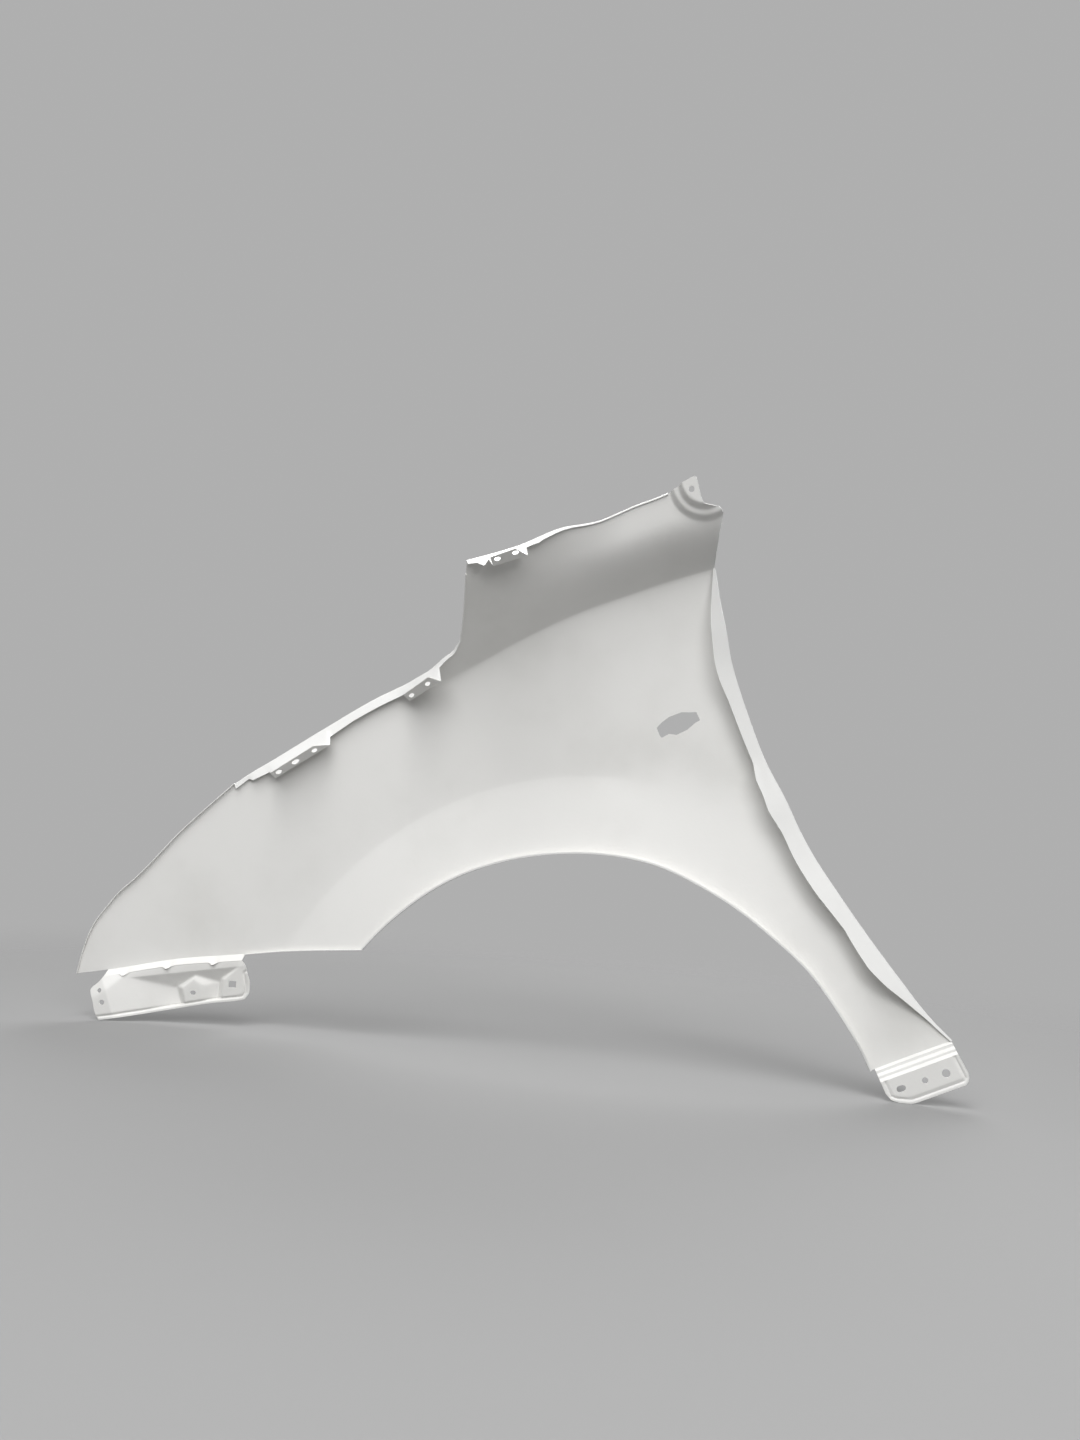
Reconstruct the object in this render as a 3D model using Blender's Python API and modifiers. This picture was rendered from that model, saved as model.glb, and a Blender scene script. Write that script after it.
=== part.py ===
"""Right-hand front fender of a car: one pressed steel sheet, painted all over.

The sheet is worked out as the skin that a panel beater would measure: X runs from the nose
rearwards, Y is outboard and Z is up. The skin is a height field y(x, z) with its curvature
in plan, a creased wheel-arch flare and a shoulder band. The flanges, tabs and the two lower
fixing plates are folded on from its outline, and every hole is cut through the finished sheet.
"""
import math

import bmesh
import bpy
import numpy as np

NAME = "fender_panel"
MM = 0.001
SHEET = 0.8 * MM
WELD = 0.01 * MM
HOLE_WELD = 0.05 * MM

# Paint
PAINT_COLOUR = (0.72, 0.72, 0.70, 1.0)
PAINT_ROUGHNESS = 0.32

# Curvature of the skin in plan and in height
PLAN_SLOPE = 0.1228
PLAN_REAR = 0.96
PLAN_OUTBOARD = 0.023
SWEEP_FROM = 0.63
SWEEP = 0.33
CROWN = 0.10

# Wheel arch, as angle and radius about the middle of the wheel arch
ARCH_X, ARCH_Z = 0.597, -0.095
ARCH_FRONT_DEG, ARCH_SHOULDER_DEG, ARCH_DOOR_DEG, ARCH_REAR_DEG = 144.8, 112.0, 52.0, 20.8
ARCH_RADIUS = 0.337
ARCH_SHAPE = [(20.8, 0.0074), (34.8, 0.0008), (39.7, 0.0), (52.8, -0.0046), (66.2, -0.0038),
              (78.9, 0.0), (93.9, -0.0005), (109.4, 0.0018), (119.0, 0.0045), (133.4, 0.0066),
              (144.8, 0.0098)]

# Flare: the skin turns inboard inside this crease, which dies out towards the door
FLARE_RADIUS = 0.430
FLARE_TURN = 0.15
FLARE_EDGE = 0.008
FLARE_FADE = 0.09
FLARE_FADE_DEG = (88.0, 48.0)

# Shoulder band, which leans inboard above the shoulder crease
SHOULDER_FROM = 0.340
SHOULDER_CREASE = [(0.381, 0.4405), (0.430, 0.4655), (0.4855, 0.4978), (0.5847, 0.5434),
                   (0.6067, 0.5508), (0.6597, 0.5687), (0.7234, 0.5870)]
SHOULDER_EDGE = 0.005
BAND_HEIGHT = 0.085
BAND_LEAN_DEG = 50.0
BAND_TOP_LEAN = [(0.42, 0.95), (0.62, 0.15)]

# Outline of the skin, seen square on
NOSE_EDGE = [(-0.0357, 0.0518), (-0.0322, 0.0760), (-0.0198, 0.1169), (-0.0091, 0.1342),
             (0.0050, 0.1546), (0.0202, 0.1706), (0.0751, 0.2384), (0.1332, 0.2995)]
LOWER_EDGE = [(-0.0357, 0.0518), (-0.0062, 0.0571), (0.0822, 0.0765), (0.1574, 0.0868),
              (0.2044, 0.0937)]
LAMP_EDGE = [(0.1332, 0.2995), (0.1465, 0.3102), (0.1803, 0.3347), (0.2366, 0.3741),
             (0.3099, 0.4219), (0.3586, 0.4469), (0.3801, 0.4572), (0.3988, 0.4716),
             (0.4099, 0.4797), (0.4200, 0.4911)]
STEP_EDGE = [(0.4911, 0.4200), (0.5120, 0.4268), (0.5324, 0.4320), (0.5524, 0.4363),
             (0.5738, 0.4407)]
HOOD_EDGE = [(0.4407, 0.5738), (0.4961, 0.5960), (0.5561, 0.6227), (0.5683, 0.6238),
             (0.5871, 0.6284), (0.6261, 0.6464), (0.6710, 0.6625), (0.6800, 0.6670)]
EAR_TOP = [(0.6988, 0.6740), (0.7016, 0.6728), (0.7072, 0.6522)]
EAR_REAR = [(0.7110, 0.6440), (0.7283, 0.6430), (0.7330, 0.6372), (0.7234, 0.5870)]
DOOR_EDGE = [(0.7234, 0.5870), (0.7328, 0.5420), (0.7399, 0.5172), (0.7515, 0.4719),
             (0.7623, 0.4409), (0.7743, 0.4100), (0.7947, 0.3611), (0.8204, 0.3148),
             (0.8373, 0.2824), (0.8566, 0.2518), (0.9038, 0.1893), (0.9480, 0.1296),
             (0.9824, 0.0867), (1.0023, 0.0668)]

# Side-lamp hole, an oval with a clip notch at each end
LAMP_HOLE = [(0.6634, 0.3969), (0.6687, 0.4031), (0.6776, 0.4103), (0.6920, 0.4163),
             (0.6998, 0.4165), (0.7102, 0.4170), (0.7148, 0.4075), (0.7095, 0.4043),
             (0.7003, 0.3958), (0.6878, 0.3892), (0.6786, 0.3901), (0.6700, 0.3851),
             (0.6676, 0.3873)]

# Rear ear of the shoulder band, raised inboard in two steps round its bolt hole
EAR_X, EAR_Z = 0.712, 0.672
EAR_STEPS = [(0.0435, 0.007, 0.006), (0.0325, 0.006, 0.007)]
EAR_ROWS = [0.0450, 0.0430, 0.0408, 0.0385, 0.0360, 0.0330, 0.0305, 0.0285, 0.0260]
EAR_RUNS = [5, 1, 5, 1]
EAR_HOLE = (0.6965, 0.6600)
EAR_HOLE_RADIUS = 3.3 * MM

# Edge wall: it folds back over the inner side, and carries the lamp and hood tabs
WALL_LEAN_DEG = 64.0
LAMP_WALL_DOWN_DEG, HOOD_WALL_DOWN_DEG = 30.5, 22.5
TAB_RISE_DEG = 21.0
LAMP_TAB_WALL = 28.5 * MM
HOOD_TAB_WALL = 21 * MM
LAMP_WALL = [(0.1332, 0.0060), (0.1490, 0.0047), (0.1530, 0.0105), (0.1730, 0.0129)]
LAMP_WALL_MIDDLE = [(0.2450, 0.0157), (0.2739, 0.0130), (0.3104, 0.0151), (0.3376, 0.0149)]
LAMP_WALL_END = [(0.3890, 0.0068), (0.4006, 0.0047), (0.4120, 0.0037), (0.4200, 0.0025)]
STEP_WALL = 2.0 * MM
HOOD_WALL = [(0.4420, 0.0055), (0.4500, 0.0070), (0.4565, 0.0145), (0.4630, 0.0067)]
HOOD_WALL_END = [(0.5063, 0.0090), (0.5120, 0.0087), (0.5193, 0.0104), (0.5240, 0.0083),
                 (0.5595, 0.0028), (0.6000, 0.0020)]

# Tabs on the wall: root from and to, free edge from and to, their lengths there
LAMP_TAB_FRONT = (0.1765, 0.2430, 0.1778, 0.2302, 0.0150, 0.0165)
LAMP_TAB_REAR = (0.3420, 0.3860, 0.3415, 0.3776, 0.0180, 0.0215)
HOOD_TAB = (0.4660, 0.5040, 0.4675, 0.4955, 0.0170, 0.0185)

# Holes in the tabs: place along the edge, distance from the fold, half length, half width
TAB_HOLES = {
    "lamp_front": [(0.1846, 0.0075, 0.0040, 0.0040), (0.2048, 0.0075, 0.0050, 0.0042),
                   (0.2274, 0.0072, 0.0038, 0.0038)],
    "lamp_rear": [(0.3485, 0.0080, 0.0040, 0.0040), (0.3721, 0.0105, 0.0040, 0.0040)],
    "hood": [(0.4736, 0.0105, 0.0040, 0.0035), (0.4938, 0.0115, 0.0040, 0.0035)],
}

# Door flange: it folds forward over the inner side, widths by height
DOOR_FLANGE_TURN_DEG = 45.0
DOOR_FLANGE = [(0.0668, 0.0040), (0.0774, 0.0041), (0.1097, 0.0075), (0.1485, 0.0162),
               (0.1876, 0.0238), (0.2263, 0.0303), (0.2619, 0.0302), (0.2856, 0.0274),
               (0.2970, 0.0308), (0.3123, 0.0358), (0.3349, 0.0327), (0.3500, 0.0324),
               (0.3593, 0.0248), (0.3663, 0.0248), (0.4140, 0.0292), (0.4333, 0.0316),
               (0.4561, 0.0362), (0.4737, 0.0352), (0.5202, 0.0269), (0.5535, 0.0136),
               (0.5870, 0.0020)]

# Narrow returns along the free edges
NOSE_RETURN = 4.0 * MM
LOWER_RETURN = 4.0 * MM
CORNER_RETURN = 3.0 * MM
ARCH_LIP = 10.0 * MM
ARCH_LIP_FOLD = 1.6 * MM

# Bumper bracket, folded down from the lower front edge
BRACKET_FROM, BRACKET_TO = -0.0012, 0.1616
SHELF_INBOARD = 9.0 * MM
SHELF_DROP = 7.5 * MM
SHELF_DARTS = [0.024, 0.078, 0.133]
SHELF_DART = 2.5 * MM
BRACKET_FRONT = [(-0.0012, 0.0498), (-0.0058, 0.0434), (-0.0145, 0.0327), (-0.0106, 0.0200),
                 (-0.0053, 0.0038), (-0.0012, -0.0022)]
BRACKET_REAR = [(0.1616, 0.0800), (0.1662, 0.0746), (0.1704, 0.0634), (0.1740, 0.0518),
                (0.1739, 0.0403), (0.1696, 0.0331)]
BRACKET_FOOT = [(-0.0012, -0.0022), (0.0115, 0.0), (0.0807, 0.0135), (0.1630, 0.0297),
                (0.1696, 0.0331)]
BRACKET_PRESS = (-0.52, 1.0, -0.166)
BRACKET_CREASE = 1.5 * MM
POCKET_TOP = [(0.0310, 0.0510), (0.1590, 0.0723)]
POCKET_TOP_SLOPE = 0.46
FLOOR_SLOPE_X, FLOOR_SLOPE_Z = 0.17, 0.126
GUSSET_SLOPE = 0.29
BOSS_LEVEL = -0.5 * MM
BOSS_FRONT = [(0.0970, 0.0260), (0.0924, 0.0417)]
BOSS_SHOULDER = [(0.0924, 0.0417), (0.1047, 0.0535)]
BOSS_CAP = [(0.1047, 0.0535), (0.1157, 0.0468)]
BOSS_REAR = [(0.1157, 0.0468), (0.1180, 0.0286)]
BOSS_SLOPES = [1.7, 1.6, 0.42, 0.26]
SQUARE_PLATE_FRONT = [(0.1410, 0.0270), (0.1423, 0.0552)]
SQUARE_PLATE_TOP = [(0.1423, 0.0552), (0.1590, 0.0723)]
SQUARE_PLATE_SLOPE = 1.5
END_FOLD = [(-0.0001, 0.0405), (0.0122, 0.0079)]
END_FOLD_SLOPE = 0.12
RIM_INSET = 6.0 * MM
RIM_WIDTH = 2.2 * MM
RIM_DEPTH = 1.8 * MM
BRACKET_HOLES = [(-0.0042, 0.0332, 0.0028, 0.0028), (0.0002, 0.0191, 0.0031, 0.0031),
                 (0.1059, 0.0367, 0.0035, 0.0026)]
BRACKET_SQUARE_HOLE = (0.1528, 0.0501, 0.0046, 0.0040)

# Sill tab, joggled inboard from the lower rear edge; along and down from the arch's end
SILL_END = (1.0023, 0.0668)
SILL_TAB_FROM = 4.9 * MM
SILL_TAB_LENGTH = 45.0 * MM
SILL_TAB_SPREAD = 1.8 * MM
SILL_JOGGLE = [(0.0, 0.0), (0.0032, 0.0032), (0.0044, 0.0034), (0.0078, 0.0068),
               (0.0092, 0.0070), (0.0130, 0.0105)]
SILL_CORNER = [(0.0, 0.0195), (0.0027, 0.0113), (0.0089, 0.0065), (0.0160, 0.0030),
               (0.0215, 0.0006), (0.0280, 0.0)]
SILL_REAR_CORNER = [(0.0, 0.0110), (0.0012, 0.0060), (0.0035, 0.0025), (0.0070, 0.0)]
SILL_RIM_INSET = 5.0 * MM
SILL_RIM_WIDTH = 1.6 * MM
SILL_RIM_DEPTH = 0.9 * MM
SILL_HOLES = [(0.0224, 0.0260, 0.0050, 0.0033), (0.0491, 0.0265, 0.0033, 0.0033),
              (0.0725, 0.0270, 0.0044, 0.0044)]

# Fineness of the sheet's facets
NOSE_COLUMNS = 30
FLARE_ROWS = 2
SIDE_ROWS = 7
TAB_COLUMNS = 6
REAR_COLUMNS = 26
BAND_ROWS = 6
BRACKET_COLUMNS = [-0.0012, 0.0060, 0.0130, 0.0195, 0.0240, 0.0285, 0.0360, 0.0450, 0.0540, 0.0630,
                   0.0710, 0.0780, 0.0850, 0.0890, 0.0930, 0.0980, 0.1047, 0.1110, 0.1170,
                   0.1230, 0.1290, 0.1330, 0.1375, 0.1420, 0.1470, 0.1520, 0.1570, 0.1616]
BRACKET_ROWS = [0.0, 0.06, 0.13, 0.21, 0.30, 0.39, 0.48, 0.57, 0.66, 0.74, 0.81, 0.86, 0.90, 0.95,
                1.0]
BRACKET_SNAP = 1.8 * MM
SILL_ROWS = 8
SILL_COLUMNS = [0.0, 0.03, 0.06, 0.10, 0.17, 0.25, 0.35, 0.45, 0.55, 0.65, 0.75, 0.84, 0.91, 0.945,
                0.975, 1.0]
HOLE_SIDES = 16
CUTTER_REACH = 14.0 * MM


def curve(points, at):
    """Smooth curve through (t, value) points, read at the places given."""
    t, value = np.array(points, float).T
    order = np.argsort(t)
    t, value = t[order], value[order]
    step = np.diff(t)
    rise = np.diff(value) / step
    slope = np.empty_like(value)
    slope[0], slope[-1] = rise[0], rise[-1]
    slope[1:-1] = (rise[:-1] * step[1:] + rise[1:] * step[:-1]) / (step[1:] + step[:-1])
    slope[1:-1][rise[:-1] * rise[1:] < 0] = 0
    at = np.clip(np.asarray(at, float), t[0], t[-1])
    k = np.clip(np.searchsorted(t, at) - 1, 0, len(step) - 1)
    u = (at - t[k]) / step[k]
    return ((1 + 2 * u) * (1 - u) ** 2 * value[k] + u * (1 - u) ** 2 * step[k] * slope[k]
            + u * u * (3 - 2 * u) * value[k + 1] + u * u * (u - 1) * step[k] * slope[k + 1])


def along(points, share):
    """Smooth outline through (x, z) points, read at shares of its length."""
    points = np.array(points, float)
    length = np.append(0, np.cumsum(np.hypot(*np.diff(points, axis=0).T)))
    at = np.asarray(share, float) * length[-1]
    return np.stack([curve(list(zip(length, points[:, k])), at) for k in (0, 1)], axis=-1)


def broken(points, at):
    """Straight runs through (t, value) points, read at the places given."""
    t, value = np.array(points, float).T
    return np.interp(at, t, value)


def ramp(d, width):
    """Zero below the crease and d above it, with the corner rounded over the width."""
    return (d + np.sqrt(d * d + width * width)) / 2


def ease(t):
    """Smooth step from 0 to 1."""
    t = np.clip(t, 0, 1)
    return t * t * (3 - 2 * t)


def arch_point(degrees):
    """Point of the wheel-arch edge at an angle about the wheel's middle."""
    radius = ARCH_RADIUS + curve(ARCH_SHAPE, degrees)
    angle = np.radians(degrees)
    return np.stack([ARCH_X + radius * np.cos(angle), ARCH_Z + radius * np.sin(angle)], axis=-1)


def shoulder_line(x):
    """Height of the shoulder crease, which leaves the lamp edge at SHOULDER_FROM."""
    start = [(SHOULDER_FROM, float(curve(LAMP_EDGE, SHOULDER_FROM)))]
    return curve(start + SHOULDER_CREASE, x)


def skin(x, z):
    """How far outboard the inner face of the skin lies."""
    x, z = np.broadcast_arrays(np.asarray(x, float), np.asarray(z, float))
    y = PLAN_OUTBOARD + PLAN_SLOPE * (PLAN_REAR - x)
    y = y - SWEEP * np.maximum(0, SWEEP_FROM - x) ** 2 - CROWN * z * z
    radius = np.hypot(x - ARCH_X, z - ARCH_Z)
    degrees = np.degrees(np.arctan2(z - ARCH_Z, x - ARCH_X))
    fade = np.clip((FLARE_FADE_DEG[0] - degrees) / (FLARE_FADE_DEG[0] - FLARE_FADE_DEG[1]), 0, 1)
    y = y - FLARE_TURN * ramp(FLARE_RADIUS - radius, FLARE_EDGE + FLARE_FADE * fade)
    above = ramp(z - shoulder_line(x), SHOULDER_EDGE)
    lean, top_lean = math.tan(math.radians(BAND_LEAN_DEG)), broken(BAND_TOP_LEAN, x)
    inside = np.minimum(above, BAND_HEIGHT)
    fall = lean * inside + (top_lean - lean) * inside ** 2 / (2 * BAND_HEIGHT)
    y = y - fall - top_lean * np.maximum(0, above - BAND_HEIGHT)
    from_ear = np.hypot(x - EAR_X, z - EAR_Z)
    for radius, width, height in EAR_STEPS:
        y = y - height * ease((radius - from_ear) / width)
    return y


def on_skin(flat):
    """Points of the skin over (x, z) places."""
    return np.stack([flat[..., 0], skin(flat[..., 0], flat[..., 1]), flat[..., 1]], axis=-1)


def between(first, second, share):
    """Straight rows from one line of points to another: shares by rows, points by columns."""
    share = np.asarray(share, float)
    if share.ndim == 1:
        share = share[:, None]
    return first[None] + (second - first)[None] * share[..., None]


def tab_stations(tab):
    """Places along the edge where a tab's root gets a row of facets."""
    return list(np.linspace(tab[0], tab[1], TAB_COLUMNS + 1))


LAMP_STATIONS = ([0.1332, 0.1410, 0.1490, 0.1530, 0.1630, 0.1730] + tab_stations(LAMP_TAB_FRONT)
                 + [0.2450, 0.2550, 0.2640, 0.2739, 0.2860, 0.2980, 0.3104, 0.3240, 0.3376])
BAND_LAMP_STATIONS = tab_stations(LAMP_TAB_REAR) + [0.3890, 0.4006, 0.4060, 0.4120]
STEP_STATIONS = [0.4911, 0.5030, 0.5150, 0.5290, 0.5430, 0.5590]
HOOD_STATIONS = ([0.4407, 0.4450, 0.4500, 0.4530, 0.4565, 0.4600, 0.4630] + tab_stations(HOOD_TAB)
                 + [0.5063, 0.5120, 0.5193, 0.5240, 0.5400, 0.5595, 0.5700, 0.5900, 0.6100,
                    0.6300, 0.6450, 0.6570])


def lamp_edge(stations):
    """Headlamp edge of the skin over places in x."""
    return np.stack([np.array(stations), curve(LAMP_EDGE, stations)], axis=-1)


def upper_outline():
    """Outline above the shoulder crease: lamp edge, step, hood edge and the arc round the ear."""
    stations = [s for s in BAND_LAMP_STATIONS if s > SHOULDER_FROM]
    lamp = lamp_edge([SHOULDER_FROM] + stations)
    step = np.stack([curve(STEP_EDGE, STEP_STATIONS), np.array(STEP_STATIONS)], axis=-1)
    arc = ear_arc(EAR_ROWS[0])
    hood = np.stack([np.array(HOOD_STATIONS), curve(HOOD_EDGE, HOOD_STATIONS)], axis=-1)
    return lamp, step, np.concatenate([hood, arc[:1]]), arc[1:]


def ear_crossing(line, radius):
    """Place where an outline comes within a radius of the middle of the ear's steps."""
    line = np.array(line, float)
    away = np.hypot(*(line - [EAR_X, EAR_Z]).T)
    order = np.argsort(away)
    return np.array([np.interp(radius, away[order], line[order, k]) for k in (0, 1)])


def ear_arc(radius):
    """Arc of the ear's steps, from the hood edge round to the rear edge."""
    x = np.linspace(HOOD_STATIONS[-1], EAR_TOP[0][0], 200)
    front = ear_crossing(np.stack([x, hood_line(x)], axis=-1), radius)
    rear = divided([EAR_TOP[-2], EAR_TOP[-1]] + EAR_REAR, [100] * (len(EAR_REAR) + 1))
    rear = ear_crossing(rear, radius)
    first, last = (math.atan2(z - EAR_Z, x - EAR_X) % (2 * math.pi) for x, z in (front, rear))
    angle = np.linspace(first, last, sum(EAR_RUNS) + 1)[1:-1]
    middle = np.stack([EAR_X + radius * np.cos(angle), EAR_Z + radius * np.sin(angle)], axis=-1)
    return np.concatenate([[front], middle, [rear]])


def hood_line(x):
    """Height of the hood edge, carried on straight to the top of the ear."""
    return curve(HOOD_EDGE + [EAR_TOP[0]], x)


def divided(points, counts):
    """Straight runs between points, each divided into its own count of equal steps."""
    points = np.array(points, float)
    runs = [points[k] + (points[k + 1] - points[k]) * np.arange(count)[:, None] / count
            for k, count in enumerate(counts)]
    return np.concatenate(runs + [points[-1:]])


def ear():
    """Ear behind the band: rows round its two steps, then the flat plate with the bolt hole."""
    arcs = [ear_arc(radius) for radius in EAR_ROWS]
    inner = arcs[-1]
    top = divided([inner[0]] + EAR_TOP + [inner[-1]], EAR_RUNS)
    plate = between(inner, top, [0, 0.34, 0.67, 1])
    return on_skin(np.stack(arcs)), on_skin(plate)


def side_columns():
    """Lower and upper ends of the side panel's columns, and where each wants its flare row."""
    lower_length = LOWER_EDGE + [tuple(arch_point(ARCH_FRONT_DEG))]
    bracket_x = np.linspace(BRACKET_FROM, BRACKET_TO, NOSE_COLUMNS - 8)
    nose_x = np.concatenate([np.linspace(LOWER_EDGE[0][0], BRACKET_FROM, 5)[:-1], bracket_x,
                             np.linspace(BRACKET_TO, LOWER_EDGE[-1][0], 6)[1:]])
    nose_low = np.stack([nose_x, curve(lower_length, nose_x)], axis=-1)
    nose_high = along(NOSE_EDGE, np.linspace(0, 1, len(nose_x)))
    lamp_high = lamp_edge(LAMP_STATIONS + [SHOULDER_FROM])[1:]
    split = len(lamp_high) // 2
    low_x = np.linspace(LOWER_EDGE[-1][0], lower_length[-1][0], split + 1)[1:]
    lamp_low = np.stack([low_x, curve(lower_length, low_x)], axis=-1)
    arch_low = arch_point(np.linspace(ARCH_FRONT_DEG, ARCH_SHOULDER_DEG,
                                      len(lamp_high) - split + 1)[1:])
    shoulder_low = arch_point(np.linspace(ARCH_SHOULDER_DEG, ARCH_DOOR_DEG,
                                          len(shoulder_points()))[1:])
    rear_low = arch_point(np.linspace(ARCH_DOOR_DEG, ARCH_REAR_DEG, REAR_COLUMNS + 1)[1:])
    rear_high = along(DOOR_EDGE, door_shares())[1:]
    low = np.concatenate([nose_low, lamp_low, arch_low, shoulder_low, rear_low])
    high = np.concatenate([nose_high, lamp_high, shoulder_points()[1:], rear_high])
    rear = np.concatenate([np.zeros(len(low) - REAR_COLUMNS),
                           np.linspace(0, 1, REAR_COLUMNS + 1)[1:]])
    return low, high, rear


def shoulder_points():
    """Points of the shoulder crease, one under each point of the upper outline."""
    top = np.concatenate(upper_outline())
    last = SHOULDER_CREASE[-1][0]
    x = np.minimum(top[:, 0], last)
    reach = top[-1, 0] - last
    start = np.searchsorted(top[:, 0], last - 2 * reach)
    x[start:] = np.linspace(x[start], last, len(x) - start)
    x = np.maximum.accumulate(x)
    for k in range(1, len(x)):
        if x[k] - x[k - 1] < 2 * MM:
            x[k] = x[k - 1] + 2 * MM
    x = SHOULDER_FROM + (x - x[0]) * (last - SHOULDER_FROM) / (x[-1] - x[0])
    return np.stack([x, shoulder_line(x)], axis=-1)


def door_shares():
    """Shares of the door edge's length at its rows of facets."""
    return np.linspace(0, 1, REAR_COLUMNS + 1)


def sill_shares():
    """Shares of the sill edge's length at its rows of facets, the first at the tab's side."""
    rows = FLARE_ROWS + SIDE_ROWS
    first = SILL_TAB_FROM / sill_frame()[2]
    return np.append(0, np.linspace(first, 1, rows))


def sill_frame():
    """Start, direction and length of the sill edge."""
    start, end = arch_point(ARCH_REAR_DEG), np.array(SILL_END)
    length = math.hypot(*(end - start))
    return start, (end - start) / length, length


def flare_share(low, high):
    """Share of each column at which it crosses the flare crease."""
    centre = np.array([ARCH_X, ARCH_Z])
    run, start = high - low, low - centre
    a, b = (run ** 2).sum(-1), (run * start).sum(-1)
    c = (start ** 2).sum(-1) - FLARE_RADIUS ** 2
    root = np.sqrt(np.maximum(b * b - a * c, 0))
    return np.clip((-b + root) / np.maximum(a, WELD ** 2), 0.10, 0.60)


def side_panel():
    """Side of the fender, from the lower edge and the arch up to the outline and shoulder."""
    low, high, rear = side_columns()
    crossing = flare_share(low, high)
    under = np.linspace(0, 1, FLARE_ROWS + 1)[:, None] * crossing
    over = crossing + np.linspace(0, 1, SIDE_ROWS + 1)[1:, None] * (1 - crossing)
    share = np.concatenate([under, over])
    share = share + (sill_shares()[:, None] - share) * ease(rear)
    return on_skin(between(low, high, share))


def shoulder_band():
    """Band between the shoulder crease and the hood, leaning inboard."""
    top = np.concatenate(upper_outline())
    share = np.linspace(0, 1, BAND_ROWS + 1) ** 1.3
    return on_skin(between(shoulder_points(), top, share))


def down_panel(degrees):
    """Direction down the inner face from an edge that rises rearwards at this angle."""
    angle = math.radians(degrees)
    return np.array([math.sin(angle), 0, -math.cos(angle)])


def turned(degrees, down):
    """Direction turned from straight inboard towards the given direction."""
    angle = math.radians(degrees)
    return np.array([0, -math.cos(angle), 0]) + math.sin(angle) * down


def edge_wall(edge, depth, down, tabs):
    """Wall folded back from an edge over the inner side, straight where its tabs are rooted."""
    foot = edge + turned(WALL_LEAN_DEG, down) * np.asarray(depth)[:, None]
    for tab, wall, outline in tabs:
        rooted = (edge[:, 0] > tab[0] - WELD) & (edge[:, 0] < tab[1] + WELD)
        foot[rooted] = tab_root(edge[rooted, 0], tab, wall, down, outline)
    return between(edge, foot, [0, 0.5, 1])


def lamp_wall_depth(x):
    """Depth of the wall along the headlamp edge, deepest where its two tabs fold up."""
    front = [(LAMP_TAB_FRONT[0], LAMP_TAB_WALL), (LAMP_TAB_FRONT[1], LAMP_TAB_WALL)]
    rear = [(LAMP_TAB_REAR[0], LAMP_TAB_WALL), (LAMP_TAB_REAR[1], LAMP_TAB_WALL)]
    return broken(LAMP_WALL + front + LAMP_WALL_MIDDLE + rear + LAMP_WALL_END, x)


def hood_wall_depth(x):
    """Depth of the wall along the hood edge, deepest where its tab folds up."""
    tab = [(HOOD_TAB[0], HOOD_TAB_WALL), (HOOD_TAB[1], HOOD_TAB_WALL)]
    return broken(HOOD_WALL + tab + HOOD_WALL_END, x)


def lamp_wall():
    """Wall along the headlamp edge and, very narrow, up the step to the hood."""
    front = lamp_edge(LAMP_STATIONS)
    lamp, step = upper_outline()[:2]
    edge = np.concatenate([front, lamp, step])
    depth = np.concatenate([lamp_wall_depth(np.concatenate([front, lamp])[:, 0]),
                            np.full(len(step), STEP_WALL)])
    tabs = [(LAMP_TAB_FRONT, LAMP_TAB_WALL, LAMP_EDGE), (LAMP_TAB_REAR, LAMP_TAB_WALL, LAMP_EDGE)]
    return edge_wall(on_skin(edge), depth, down_panel(LAMP_WALL_DOWN_DEG), tabs)


def hood_wall():
    """Wall along the hood edge, up to the ear."""
    edge = upper_outline()[2]
    return edge_wall(on_skin(edge), hood_wall_depth(edge[:, 0]), down_panel(HOOD_WALL_DOWN_DEG),
                     [(HOOD_TAB, HOOD_TAB_WALL, HOOD_EDGE)])


def tab_root(x, tab, wall, down, outline):
    """Straight fold line between the wall and a tab, or its continuation."""
    ends = np.stack([np.array(tab[:2]), curve(outline, tab[:2])], axis=-1)
    first, last = on_skin(ends) + turned(WALL_LEAN_DEG, down) * wall
    share = (np.asarray(x, float) - tab[0]) / (tab[1] - tab[0])
    return first + (last - first) * share[:, None]


def tab_rise(down):
    """Direction in which the tabs rise from their fold."""
    return turned(-TAB_RISE_DEG, down)


def fixing_tab(tab, wall, down, outline):
    """Flat tab folded up from the deep wall; its free edge is shorter than its root."""
    stations = tab_stations(tab)
    root = tab_root(stations, tab, wall, down, outline)
    free_x = np.linspace(tab[2], tab[3], len(stations))
    length = np.linspace(tab[4], tab[5], len(stations))
    free = tab_root(free_x, tab, wall, down, outline) + tab_rise(down) * length[:, None]
    return between(root, free, [0, 0.5, 1])


def door_flange():
    """Flange along the door edge, folded forward over the inner side."""
    edge = along(DOOR_EDGE, door_shares())
    heading = np.gradient(edge, axis=0)
    heading = heading / np.hypot(*heading.T)[:, None]
    into = np.stack([heading[:, 1], np.zeros(len(edge)), -heading[:, 0]], axis=-1)
    turn = math.radians(DOOR_FLANGE_TURN_DEG)
    direction = np.array([0, -math.cos(turn), 0]) + math.sin(turn) * into
    width = broken(DOOR_FLANGE, edge[:, 1])
    start = on_skin(edge)
    return between(start, start + direction * width[:, None], [0, 0.5, 1])


def nose_return():
    """Narrow return along the nose edge, fading out at the tip."""
    low, high, rear = side_columns()
    count = int(np.argmin(np.abs(high[:, 0] - NOSE_EDGE[-1][0]))) + 1
    edge = on_skin(high[:count])
    width = NOSE_RETURN * (0.5 + 0.5 * ease(np.linspace(0, 2.0, count)))
    return between(edge, edge - np.array([0, 1, 0]) * width[:, None], [0, 1])


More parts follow.
